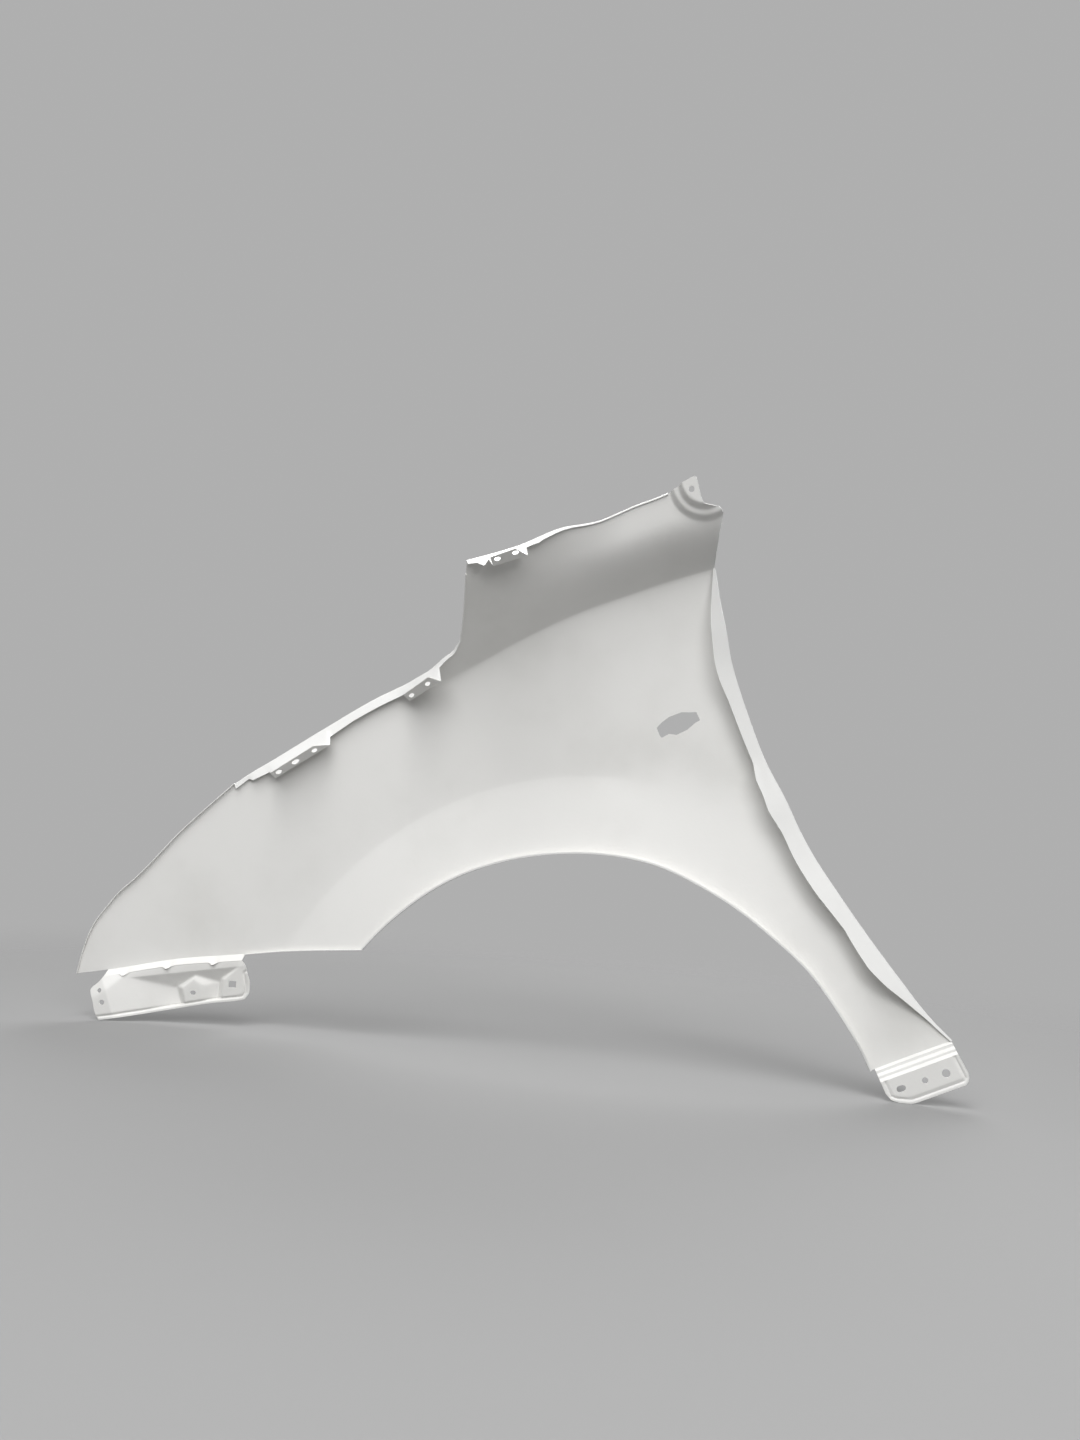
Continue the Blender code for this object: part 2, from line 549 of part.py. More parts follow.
def lower_points(first, last):
    """Points of the lower edge between two places in x."""
    low = side_columns()[0]
    keep = (low[:, 0] >= first - WELD) & (low[:, 0] <= last + WELD)
    return low[keep & (np.arange(len(low)) <= np.argmax(low[:, 0] >= arch_point(ARCH_FRONT_DEG)[0]))]


def lower_return():
    """Narrow return behind the bracket, which runs into the lip at the wheel arch."""
    edge = on_skin(lower_points(BRACKET_TO, arch_point(ARCH_FRONT_DEG)[0]))
    fade = ease(np.linspace(1.5, 0, len(edge)))
    width = CORNER_RETURN + (LOWER_RETURN - CORNER_RETURN) * fade
    return between(edge, edge - np.array([0, 1, 0]) * width[:, None], [0, 1])


def arch_lip():
    """Lip round the wheel arch: inboard, then folded up a little."""
    low = side_columns()[0]
    start = int(np.argmin(np.hypot(*(low - arch_point(ARCH_FRONT_DEG)).T)))
    edge = on_skin(low[start:])
    share = np.linspace(0, 1, len(edge))
    fade = ease(np.minimum(share, 1 - share) * 12)
    width = CORNER_RETURN + (ARCH_LIP - CORNER_RETURN) * fade
    lip = edge - np.array([0, 1, 0]) * width[:, None]
    away = low[start:] - np.array([ARCH_X, ARCH_Z])
    away = away / np.hypot(*away.T)[:, None]
    fold = np.stack([away[:, 0], np.zeros(len(edge)), away[:, 1]], axis=-1)
    return np.stack([edge, lip, lip + fold * ARCH_LIP_FOLD])


def coons(lines, u, v):
    """Grid of points between four border lines: top, bottom, front and rear."""
    top, bottom, front, rear = lines
    u, v = np.asarray(u)[None, :, None], np.asarray(v)[:, None, None]
    ruled = top[None] * (1 - v) + bottom[None] * v + front[:, None] * (1 - u) + rear[:, None] * u
    corners = (top[0] * (1 - u) * (1 - v) + top[-1] * u * (1 - v)
               + bottom[0] * (1 - u) * v + bottom[-1] * u * v)
    return ruled - corners


def nearest_on(line, places):
    """Nearest points to places on a line of straight runs, and how far away they are."""
    best = np.full(places.shape[:-1], np.inf)
    nearest = np.zeros_like(places)
    for first, last in zip(np.array(line[:-1], float), np.array(line[1:], float)):
        run = last - first
        t = np.clip(((places - first) @ run) / (run @ run), 0, 1)
        point = first + t[..., None] * run
        away = np.hypot(*np.moveaxis(places - point, -1, 0))
        nearest = np.where((away < best)[..., None], point, nearest)
        best = np.minimum(best, away)
    return nearest, best


def beside(line, places):
    """Signed distance of places from the straight line through two points, left of it positive."""
    first, last = np.array(line[0], float), np.array(line[-1], float)
    run = (last - first) / np.hypot(*(last - first))
    return (places[..., 1] - first[1]) * run[0] - (places[..., 0] - first[0]) * run[1]


def lesser(first, second):
    """The smaller of two heights, with the crease between them rounded."""
    apart = np.sqrt((first - second) ** 2 + BRACKET_CREASE ** 2)
    return (first + second - apart) / 2


def greater(first, second):
    """The larger of two heights, with the crease between them rounded."""
    return -lesser(-first, -second)


def bracket_relief(flat):
    """How far the bracket's pocket, gusset, boss, plates and rim groove stand off its plane."""
    x, z = flat[..., 0], flat[..., 1]
    (pocket_x, pocket_z) = POCKET_TOP[0]
    ceiling = POCKET_TOP_SLOPE * np.maximum(0, broken(POCKET_TOP, x) - z)
    floor = FLOOR_SLOPE_X * (x - pocket_x) + FLOOR_SLOPE_Z * (z - pocket_z)
    gusset = GUSSET_SLOPE * (z - fold_height(x))
    pocket = greater(lesser(ceiling, floor), gusset)
    boss = np.full(x.shape, BOSS_LEVEL)
    for line, slope in zip([BOSS_FRONT, BOSS_SHOULDER, BOSS_CAP, BOSS_REAR], BOSS_SLOPES):
        boss = greater(boss, BOSS_LEVEL + slope * beside(line, flat))
    plate = greater(greater(0 * x, SQUARE_PLATE_SLOPE * beside(SQUARE_PLATE_FRONT, flat)),
                    SQUARE_PLATE_SLOPE * beside(SQUARE_PLATE_TOP, flat))
    end = END_FOLD_SLOPE * np.maximum(0, beside(END_FOLD[::-1], flat))
    rim = nearest_on(BRACKET_FRONT[3:] + BRACKET_FOOT[1:] + BRACKET_REAR[::-1][1:4], flat)[1]
    groove = RIM_DEPTH * np.exp(-((rim - RIM_INSET) / RIM_WIDTH) ** 2)
    return lesser(lesser(pocket, boss), plate) + end + groove


def lower_height(x):
    """Height of the skin's lower edge ahead of the wheel arch."""
    return curve(LOWER_EDGE + [tuple(arch_point(ARCH_FRONT_DEG))], x)


def fold_height(x):
    """Height of the fold between the bracket's shelf and its plate, without the darts."""
    return lower_height(x) - SHELF_DROP


def on_bracket(flat):
    """Points of the bracket's plate over (x, z) places: its relief is pressed in obliquely."""
    x, z = flat[..., 0], flat[..., 1]
    plane = np.stack([x, skin(x, lower_height(x)) - SHELF_INBOARD, z], axis=-1)
    return plane + bracket_relief(flat)[..., None] * np.array(BRACKET_PRESS)


def shelf_fold():
    """Fold line between the shelf and the plate, notched by the darts."""
    x = np.array(BRACKET_COLUMNS)
    notch = sum(np.exp(-((x - place) / SHELF_DART) ** 2) for place in SHELF_DARTS)
    level = skin(x, lower_height(x)) - SHELF_INBOARD
    return np.stack([x, level, fold_height(x) - SHELF_DART * notch], axis=-1)


def shelf_seam():
    """Lower edge of the panel above the bracket, and the shelf's fold line."""
    return on_skin(lower_points(BRACKET_FROM, BRACKET_TO)), shelf_fold()


def bracket():
    """Bumper plate that hangs from the shelf, with its grid drawn to the creases."""
    fold = shelf_fold()
    front, rear = np.array(BRACKET_FRONT), np.array(BRACKET_REAR)
    front = front + (fold[0, [0, 2]] - front[0]) * np.linspace(1, 0, len(front))[:, None]
    rear = rear + (fold[-1, [0, 2]] - rear[0]) * np.linspace(1, 0, len(rear))[:, None]
    share = (fold[:, 0] - fold[0, 0]) / (fold[-1, 0] - fold[0, 0])
    lines = fold[:, [0, 2]], along(BRACKET_FOOT, share), along(front, BRACKET_ROWS), \
        along(rear, BRACKET_ROWS)
    flat = coons(lines, share, BRACKET_ROWS)
    middle = flat[1:-1, 1:-1]
    for line in (POCKET_TOP, BOSS_SHOULDER, BOSS_CAP, BOSS_REAR, SQUARE_PLATE_TOP, END_FOLD):
        nearest, away = nearest_on(line, middle)
        within = np.hypot(*np.moveaxis(nearest - line[0], -1, 0)) > BRACKET_SNAP
        within &= np.hypot(*np.moveaxis(nearest - line[-1], -1, 0)) > BRACKET_SNAP
        middle[:] = np.where(((away < BRACKET_SNAP) & within)[..., None], nearest, middle)
    plate = on_bracket(flat)
    plate[0] = fold
    return plate


def sill_point(along_edge, down):
    """Place in (x, z) that lies along and below the sill edge."""
    start, heading, _ = sill_frame()
    square = np.array([heading[1], -heading[0]])
    return start + np.multiply.outer(along_edge, heading) + np.multiply.outer(down, square)


def sill_level(along_edge):
    """How far outboard the straight line between the sill edge's ends lies."""
    start, _, length = sill_frame()
    first, last = float(skin(*start)), float(skin(*SILL_END))
    return first + (last - first) * np.asarray(along_edge) / length


def sill_tab():
    """Joggled steps under the sill edge, and the flat tab below them with its rim groove."""
    start, _, length = sill_frame()
    side = SILL_TAB_FROM + (length - SILL_TAB_FROM) * np.array(SILL_COLUMNS)
    edge_level = on_skin(sill_point(side, np.zeros(len(side))))[:, 1]
    rows = []
    for down, inboard in SILL_JOGGLE[1:]:
        flat = sill_point(side, down)
        level = edge_level if down < SILL_JOGGLE[-1][0] else sill_level(side)
        rows.append(np.stack([flat[:, 0], level - inboard, flat[:, 1]], axis=-1))
    last_down, last_inboard = SILL_JOGGLE[-1]
    from_front, from_rear = side - side[0], side[-1] - side
    bottom = (SILL_TAB_LENGTH - broken(SILL_CORNER, from_front)
              - broken(SILL_REAR_CORNER, from_rear))
    for share in np.linspace(0, 1, SILL_ROWS + 1)[1:]:
        down = last_down + (bottom - last_down) * share
        spread = side + SILL_TAB_SPREAD * (side / length) * share
        flat = sill_point_rows(spread, down)
        rim = np.minimum(np.minimum(from_front, from_rear), bottom - down)
        groove = SILL_RIM_DEPTH * np.exp(-((rim - SILL_RIM_INSET) / SILL_RIM_WIDTH) ** 2)
        rows.append(np.stack([flat[:, 0], sill_level(side) - last_inboard + groove,
                              flat[:, 1]], axis=-1))
    return np.stack(rows)


def sill_seam():
    """Sill edge of the panel, and the first fold line of the tab below it."""
    side = sill_shares()[1:] * sill_frame()[2]
    return on_skin(sill_point(side, np.zeros(len(side)))), sill_tab()[0]


def sill_point_rows(along_edge, down):
    """Places in (x, z) for matching lists of distances along and below the sill edge."""
    start, heading, _ = sill_frame()
    square = np.array([heading[1], -heading[0]])
    return start + along_edge[:, None] * heading + down[:, None] * square


def patch(bm, points):
    """Lay a grid of facets through rows and columns of points."""
    rows, columns = points.shape[0] - 1, points.shape[1] - 1
    grid = bmesh.ops.create_grid(bm, x_segments=columns, y_segments=rows, size=0.5)
    for vert in grid["verts"]:
        row, column = round((vert.co.y + 0.5) * rows), round((vert.co.x + 0.5) * columns)
        vert.co = points[row, column]


def stitch(bm, first, second):
    """Lay triangles between two lines of points whose counts differ."""
    shares = []
    for line in (first, second):
        length = np.append(0, np.cumsum(np.linalg.norm(np.diff(line, axis=0), axis=1)))
        shares.append(length / length[-1])
    near, far = ([bm.verts.new(point) for point in line] for line in (first, second))
    i = j = 0
    while i < len(near) - 1 or j < len(far) - 1:
        step = j == len(far) - 1 or (i < len(near) - 1 and shares[0][i + 1] <= shares[1][j + 1])
        bm.faces.new([near[i], far[j], near[i + 1] if step else far[j + 1]])
        i, j = (i + 1, j) if step else (i, j + 1)


def collection(name):
    """New collection in the scene."""
    made = bpy.data.collections.new(name)
    bpy.context.scene.collection.children.link(made)
    return made


def paint():
    """White paint over the whole sheet."""
    material = bpy.data.materials.new("white_paint")
    material.use_nodes = True
    shader = material.node_tree.nodes["Principled BSDF"]
    shader.inputs["Base Color"].default_value = PAINT_COLOUR
    shader.inputs["Roughness"].default_value = PAINT_ROUGHNESS
    shader.inputs["Metallic"].default_value = 0.0
    return material


def sheet_patches():
    """All stretches of the sheet, each as rows and columns of points."""
    lamp_down, hood_down = down_panel(LAMP_WALL_DOWN_DEG), down_panel(HOOD_WALL_DOWN_DEG)
    return [
        side_panel(), shoulder_band(), lamp_wall(), hood_wall(),
        fixing_tab(LAMP_TAB_FRONT, LAMP_TAB_WALL, lamp_down, LAMP_EDGE),
        fixing_tab(LAMP_TAB_REAR, LAMP_TAB_WALL, lamp_down, LAMP_EDGE),
        fixing_tab(HOOD_TAB, HOOD_TAB_WALL, hood_down, HOOD_EDGE),
        *ear(), door_flange(), nose_return(), lower_return(), arch_lip(), bracket(), sill_tab(),
    ]


def pressed_sheet(home):
    """One sheet welded from its stretches, facing inboard, given its thickness outboard."""
    bm = bmesh.new()
    for points in sheet_patches():
        patch(bm, points)
    for first, second in (shelf_seam(), sill_seam()):
        stitch(bm, first, second)
    bmesh.ops.remove_doubles(bm, verts=bm.verts, dist=WELD)
    bmesh.ops.dissolve_degenerate(bm, edges=bm.edges, dist=WELD)
    bmesh.ops.recalc_face_normals(bm, faces=bm.faces)
    facing = sum(face.normal.y * face.calc_area() for face in bm.faces)
    if facing > 0:
        bmesh.ops.reverse_faces(bm, faces=bm.faces)
    mesh = bpy.data.meshes.new(NAME)
    bm.to_mesh(mesh)
    bm.free()
    mesh.shade_smooth()
    mesh.set_sharp_from_angle(angle=math.radians(25))
    sheet = bpy.data.objects.new(NAME, mesh)
    home.objects.link(sheet)
    thickness = sheet.modifiers.new("sheet thickness", "SOLIDIFY")
    thickness.thickness = SHEET
    thickness.offset = -1
    thickness.use_even_offset = True
    return sheet


def prism(bm, outline, axis):
    """Closed prism of an outline of points, swept both ways along an axis."""
    near = [bm.verts.new(point - axis) for point in outline]
    far = [bm.verts.new(point + axis) for point in outline]
    bm.faces.new(near)
    bm.faces.new(far[::-1])
    for k in range(len(outline)):
        after = (k + 1) % len(outline)
        bm.faces.new([near[after], near[k], far[k], far[after]])


def slot_outline(centre, wide, high, half_width, half_height):
    """Oval of the given half sizes, drawn in the plane of two directions."""
    turns = np.linspace(0, 2 * math.pi, HOLE_SIDES, endpoint=False)
    shift = max(half_width - half_height, 0)
    across = half_height * np.cos(turns) + shift * np.sign(np.round(np.cos(turns), 6))
    return [centre + wide * a + high * b for a, b in zip(across, half_height * np.sin(turns))]


def unit(vector):
    """The same direction at length one."""
    return vector / np.linalg.norm(vector)


def tab_cutters(bm, tab, wall, down, outline, holes):
    """Cutters for the holes of one tab, square to it."""
    for x, distance, half_width, half_height in holes:
        ends = tab_root([x - MM, x + MM], tab, wall, down, outline)
        wide, high = unit(ends[1] - ends[0]), tab_rise(down)
        centre = ends.mean(axis=0) + high * distance
        axis = unit(np.cross(wide, high)) * 3 * MM
        prism(bm, slot_outline(centre, wide, high, half_width, half_height), axis)


def hole_cutters(home):
    """One object with a cutter for every hole in the sheet."""
    bm = bmesh.new()
    lamp_down, hood_down = down_panel(LAMP_WALL_DOWN_DEG), down_panel(HOOD_WALL_DOWN_DEG)
    tab_cutters(bm, LAMP_TAB_FRONT, LAMP_TAB_WALL, lamp_down, LAMP_EDGE, TAB_HOLES["lamp_front"])
    tab_cutters(bm, LAMP_TAB_REAR, LAMP_TAB_WALL, lamp_down, LAMP_EDGE, TAB_HOLES["lamp_rear"])
    tab_cutters(bm, HOOD_TAB, HOOD_TAB_WALL, hood_down, HOOD_EDGE, TAB_HOLES["hood"])
    across, up, through = np.eye(3)[0], np.eye(3)[2], np.eye(3)[1] * CUTTER_REACH
    outline = [np.array([x, float(skin(x, z)), z]) for x, z in LAMP_HOLE]
    middle = np.mean([point[1] for point in outline])
    prism(bm, [np.array([p[0], middle, p[2]]) for p in outline], through)
    x, z = EAR_HOLE
    centre = np.array([x, float(skin(x, z)), z])
    prism(bm, slot_outline(centre, across, up, EAR_HOLE_RADIUS, EAR_HOLE_RADIUS), through)
    for x, z, half_width, half_height in BRACKET_HOLES:
        centre = on_bracket(np.array([x, z]))
        prism(bm, slot_outline(centre, across, up, half_width, half_height), through)
    x, z, half_width, half_height = BRACKET_SQUARE_HOLE
    centre = on_bracket(np.array([x, z]))
    corners = [(-1, -1), (1, -1), (1, 1), (-1, 1)]
    prism(bm, [centre + across * a * half_width + up * b * half_height for a, b in corners],
          through)
    _, heading, _ = sill_frame()
    wide, high = np.array([heading[0], 0, heading[1]]), np.array([-heading[1], 0, heading[0]])
    for place, down, half_width, half_height in SILL_HOLES:
        flat = sill_point(place, down)
        centre = np.array([flat[0], float(sill_level(place)), flat[1]])
        prism(bm, slot_outline(centre, wide, high, half_width, half_height), through)
    bmesh.ops.recalc_face_normals(bm, faces=bm.faces)
    mesh = bpy.data.meshes.new("hole_cutters")
    bm.to_mesh(mesh)
    bm.free()
    cutters = bpy.data.objects.new("hole_cutters", mesh)
    cutters.hide_render = True
    cutters.display_type = "WIRE"
    home.objects.link(cutters)
    return cutters


def centre_on_origin(objects, sheet):
    """Move everything so that the box of the sheet stands over the origin on its lowest point."""
    bpy.context.view_layer.update()
    box = np.array(sheet.evaluated_get(bpy.context.evaluated_depsgraph_get()).bound_box)
    low, high = box.min(axis=0), box.max(axis=0)
    middle = np.array([(low[0] + high[0]) / 2, (low[1] + high[1]) / 2, low[2]])
    for thing in objects:
        count = len(thing.data.vertices)
        places = np.empty(count * 3)
        thing.data.vertices.foreach_get("co", places)
        thing.data.vertices.foreach_set("co", (places.reshape(-1, 3) - middle).ravel())
        thing.data.update()


for existing in list(bpy.data.objects):
    bpy.data.objects.remove(existing)
fender = collection("fender")
tools = collection("cutters")
panel = pressed_sheet(fender)
panel.data.materials.append(paint())
cutters = hole_cutters(tools)
holes = panel.modifiers.new("holes", "BOOLEAN")
holes.operation = "DIFFERENCE"
holes.solver = "EXACT"
holes.object = cutters
weld = panel.modifiers.new("weld at the holes", "WELD")
weld.merge_threshold = HOLE_WELD
facets = panel.modifiers.new("even facets", "TRIANGULATE")
facets.quad_method = "BEAUTY"
facets.ngon_method = "BEAUTY"
centre_on_origin([panel, cutters], panel)
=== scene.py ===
"""White front fender of a car, seen from its inner side: one pressed and painted steel sheet.

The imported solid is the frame. The fine sheet that stands for it is worked out with numpy in
measured coordinates (X from the nose rearwards, Y outboard, Z up) and then moved onto the frame.
"""
import math

import bmesh
import bpy
import numpy as np
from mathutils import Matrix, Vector


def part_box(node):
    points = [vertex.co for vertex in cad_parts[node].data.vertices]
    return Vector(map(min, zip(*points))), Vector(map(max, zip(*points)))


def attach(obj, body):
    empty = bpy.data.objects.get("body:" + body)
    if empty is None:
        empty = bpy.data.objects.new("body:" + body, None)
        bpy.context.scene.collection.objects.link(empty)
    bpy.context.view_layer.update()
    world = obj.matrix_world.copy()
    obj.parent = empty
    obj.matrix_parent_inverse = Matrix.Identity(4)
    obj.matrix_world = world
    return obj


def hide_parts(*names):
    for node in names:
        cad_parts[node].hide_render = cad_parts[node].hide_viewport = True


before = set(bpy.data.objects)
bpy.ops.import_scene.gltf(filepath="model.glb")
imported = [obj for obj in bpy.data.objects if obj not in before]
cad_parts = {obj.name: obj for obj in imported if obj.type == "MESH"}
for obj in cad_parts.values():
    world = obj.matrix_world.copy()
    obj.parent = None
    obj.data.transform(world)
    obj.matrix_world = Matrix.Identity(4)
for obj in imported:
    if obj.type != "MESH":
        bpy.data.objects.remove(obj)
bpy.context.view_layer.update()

# Every stretch of the sheet is a grid of points, and a seam is a pair of lines to be joined. They
# are gathered here as they are made, and the last section welds them into one sheet.
stretches, seams = [], []

# The skin: the big stretch of 0.8 mm steel that was drawn in a press, and from which everything
# else is folded. It is a height field that curves in plan and in height, turns inboard inside the
# wheel-arch crease, leans inboard above the shoulder crease and steps up round the rear ear.
MM = 0.001
PLAN_SLOPE = 0.1228
PLAN_REAR = 0.96
PLAN_OUTBOARD = 0.023
SWEEP_FROM = 0.63
SWEEP = 0.33
CROWN = 0.10
ARCH_X, ARCH_Z = 0.597, -0.095
ARCH_FRONT_DEG, ARCH_SHOULDER_DEG, ARCH_DOOR_DEG, ARCH_REAR_DEG = 144.8, 112.0, 52.0, 20.8
ARCH_RADIUS = 0.337
ARCH_SHAPE = [(20.8, 0.0074), (34.8, 0.0008), (39.7, 0.0), (52.8, -0.0046), (66.2, -0.0038),
              (78.9, 0.0), (93.9, -0.0005), (109.4, 0.0018), (119.0, 0.0045), (133.4, 0.0066),
              (144.8, 0.0098)]
FLARE_RADIUS = 0.430
FLARE_TURN = 0.185
FLARE_EDGE = 0.004
FLARE_FADE = 0.09
FLARE_FADE_DEG = (88.0, 48.0)
SHOULDER_FROM = 0.340
SHOULDER_CREASE = [(0.381, 0.4405), (0.430, 0.4655), (0.4855, 0.4978), (0.5847, 0.5434),
                   (0.6067, 0.5508), (0.6597, 0.5687), (0.7234, 0.5870)]
BAND_HEIGHT = 0.085
BAND_LEAN_DEG = 50.0
BAND_TOP_LEAN = [(0.42, 0.95), (0.62, 0.15)]
LAMP_EDGE = [(0.1332, 0.2979), (0.1465, 0.3086), (0.1803, 0.3323), (0.2366, 0.3717),
             (0.3099, 0.4195), (0.3586, 0.4445), (0.3801, 0.4558), (0.3988, 0.4702),
             (0.4099, 0.4783), (0.4200, 0.4897)]
HOOD_EDGE = [(0.4407, 0.5715), (0.4961, 0.5937), (0.5561, 0.6202), (0.5683, 0.6226),
             (0.5871, 0.6272), (0.6261, 0.6441), (0.6710, 0.6602), (0.6800, 0.6647)]
EAR_TOP = [(0.6988, 0.6740), (0.7016, 0.6728), (0.7072, 0.6522)]
SHOULDER_ROUND = [(0.39, 0.005), (0.45, 0.0022)]
BAND_TURN = (0.012, 0.062)
BAND_TURN_X = (0.46, 0.62)
EAR_X, EAR_Z = 0.712, 0.672
EAR_STEPS = [(0.0435, 0.007, 0.006), (0.0325, 0.006, 0.007)]


def curve(points, at):
    """Smooth curve through (t, value) points, read at the places given."""
    t, value = np.array(points, float).T
    order = np.argsort(t)
    t, value = t[order], value[order]
    step = np.diff(t)
    rise = np.diff(value) / step
    slope = np.empty_like(value)
    slope[0], slope[-1] = rise[0], rise[-1]
    slope[1:-1] = (rise[:-1] * step[1:] + rise[1:] * step[:-1]) / (step[1:] + step[:-1])
    slope[1:-1][rise[:-1] * rise[1:] < 0] = 0
    at = np.clip(np.asarray(at, float), t[0], t[-1])
    k = np.clip(np.searchsorted(t, at) - 1, 0, len(step) - 1)
    u = (at - t[k]) / step[k]
    return ((1 + 2 * u) * (1 - u) ** 2 * value[k] + u * (1 - u) ** 2 * step[k] * slope[k]
            + u * u * (3 - 2 * u) * value[k + 1] + u * u * (u - 1) * step[k] * slope[k + 1])


def broken(points, at):
    """Straight runs through (t, value) points, read at the places given."""
    t, value = np.array(points, float).T
    return np.interp(at, t, value)


def ramp(d, width):
    """Zero below the crease and d above it, with the corner rounded over the width."""
    return (d + np.sqrt(d * d + width * width)) / 2


def ease(t):
    """Smooth step from 0 to 1."""
    t = np.clip(t, 0, 1)
    return t * t * (3 - 2 * t)


def arch_point(degrees):
    """Point of the wheel-arch edge at an angle about the wheel's middle."""
    radius = ARCH_RADIUS + curve(ARCH_SHAPE, degrees)
    angle = np.radians(degrees)
    return np.stack([ARCH_X + radius * np.cos(angle), ARCH_Z + radius * np.sin(angle)], axis=-1)


def shoulder_line(x):
    """Height of the shoulder crease, which leaves the lamp edge at SHOULDER_FROM."""
    start = [(SHOULDER_FROM, float(curve(LAMP_EDGE, SHOULDER_FROM)))]
    return curve(start + SHOULDER_CREASE, x)


def hood_line(x):
    """Height of the hood edge, carried on straight to the top of the ear."""
    return curve(HOOD_EDGE + [EAR_TOP[0]], x)


def band_fall(above, x):
    """How far the band has come inboard at a height above the crease: its lean runs down evenly
    in front; towards the rear it drops between two heights, and both meet at the hood edge."""
    low, top = math.tan(math.radians(BAND_LEAN_DEG)), broken(BAND_TOP_LEAN, x)

    def even(h):
        inside = np.minimum(h, BAND_HEIGHT)
        return (low * inside + (top - low) * inside ** 2 / (2 * BAND_HEIGHT)
                + top * np.maximum(0, h - BAND_HEIGHT))

    def turned_early(h):
        t = np.maximum(0, (h - BAND_TURN[0]) / (BAND_TURN[1] - BAND_TURN[0]))
        inside = np.minimum(t, 1)
        return inside ** 3 - inside ** 4 / 2 + np.maximum(0, t - 1)

    whole = hood_line(x) - shoulder_line(x)
    width = BAND_TURN[1] - BAND_TURN[0]
    steep = ((even(whole) - top * width * turned_early(whole))
             / (whole - width * turned_early(whole)))
    early = steep * above - (steep - top) * width * turned_early(above)
    share = ease((x - BAND_TURN_X[0]) / (BAND_TURN_X[1] - BAND_TURN_X[0]))
    return even(above) + (early - even(above)) * share


def skin(x, z):
    """How far outboard the inner face of the skin lies: the plan's straight run, less its sweep
    and crown (both squares), the flare, the band's fall and the two round steps of the ear."""
    x, z = np.broadcast_arrays(np.asarray(x, float), np.asarray(z, float))
    y = PLAN_OUTBOARD + PLAN_SLOPE * (PLAN_REAR - x)
    y = y - SWEEP * np.maximum(0, SWEEP_FROM - x) ** 2 - CROWN * z * z
    radius = np.hypot(x - ARCH_X, z - ARCH_Z)
    degrees = np.degrees(np.arctan2(z - ARCH_Z, x - ARCH_X))
    fade = np.clip((FLARE_FADE_DEG[0] - degrees) / (FLARE_FADE_DEG[0] - FLARE_FADE_DEG[1]), 0, 1)
    y = y - FLARE_TURN * ramp(FLARE_RADIUS - radius, FLARE_EDGE + FLARE_FADE * fade)
    width = broken(SHOULDER_ROUND, x)
    y = y - band_fall(ramp(z - shoulder_line(x), width), x)
    from_ear = np.hypot(x - EAR_X, z - EAR_Z)
    for radius, width, height in EAR_STEPS:
        y = y - height * ease((radius - from_ear) / width)
    return y


def standing(flat, outboard):
    """Points over (x, z) places, each as far outboard as given."""
    x, z = np.moveaxis(np.asarray(flat), -1, 0)
    return np.stack([x, outboard + 0 * x, z], axis=-1)


def on_skin(flat):
    """Points of the skin over (x, z) places."""
    flat = np.asarray(flat)
    return standing(flat, skin(flat[..., 0], flat[..., 1]))


# Shoulder band and ear: the stretch above the shoulder crease, up to the headlamp edge, the step
# and the hood edge, and the ear behind it, which is pressed up in two round steps for its bolt.
STEP_EDGE = [(0.4911, 0.4200), (0.5120, 0.4268), (0.5324, 0.4320), (0.5524, 0.4363),
             (0.5738, 0.4407)]
EAR_REAR = [(0.7110, 0.6440), (0.7283, 0.6430), (0.7330, 0.6372), (0.7234, 0.5870)]
# Each tab's root from and to, its free edge from and to, and its length in front and at the rear.
LAMP_TAB_FRONT = (0.1765, 0.2430, 0.1778, 0.2302, 0.0150, 0.0165)
LAMP_TAB_REAR = (0.3420, 0.3860, 0.3415, 0.3776, 0.0180, 0.0215)
HOOD_TAB = (0.4660, 0.5040, 0.4675, 0.4955, 0.0170, 0.0185)
EAR_ROWS = [0.0450, 0.0430, 0.0408, 0.0385, 0.0360, 0.0330, 0.0305, 0.0285, 0.0260]
EAR_RUNS = [15, 3, 15, 3]
EAR_PLATE_ROWS = 8
CROSSING_STEPS = 100
FINER = 2
BAND_ROWS = 20
SHOULDER_APART = 1.0 * MM
BAND_LAMP_PLACES = [*np.linspace(*LAMP_TAB_REAR[:2], 5), 0.3890, 0.4006, 0.4060, 0.4120, 0.4200]
STEP_PLACES = [0.4911, 0.5030, 0.5150, 0.5290, 0.5430, 0.5590, 0.5738]
HOOD_PLACES = [0.4407, 0.4450, 0.4500, 0.4530, 0.4565, 0.4600, 0.4630,
               *np.linspace(*HOOD_TAB[:2], 5), 0.5046, 0.5120, 0.5193, 0.5240, 0.5400, 0.5595,
               0.5700, 0.5900, 0.6100, 0.6300, 0.6450, 0.6570]


def finer(places):
    """The same places with each run between them divided into FINER equal steps."""
    places = np.array(places, float)
    share = np.arange(FINER) / FINER
    steps = places[:-1, None] + np.diff(places)[:, None] * share
    return np.append(steps.ravel(), places[-1])


def rows(count):
    """Shares from 0 to 1 that lie close together at both ends, so that a fold stays tight."""
    return (1 - np.cos(np.linspace(0, np.pi, count + 1))) / 2


def between(first, second, share):
    """Straight rows from one line of points to another: shares by rows, points by columns."""
    share = np.asarray(share, float)
    if share.ndim == 1:
        share = share[:, None]
    return first[None] + (second - first)[None] * share[..., None]


def divided(points, counts):
    """Straight runs between points, each divided into its own count of equal steps."""
    points = np.array(points, float)
    runs = [points[k] + (points[k + 1] - points[k]) * np.arange(count)[:, None] / count
            for k, count in enumerate(counts)]
    return np.concatenate(runs + [points[-1:]])


def lamp_edge(stations):
    """Headlamp edge of the skin over places in x."""
    return np.stack([np.array(stations), curve(LAMP_EDGE, stations)], axis=-1)


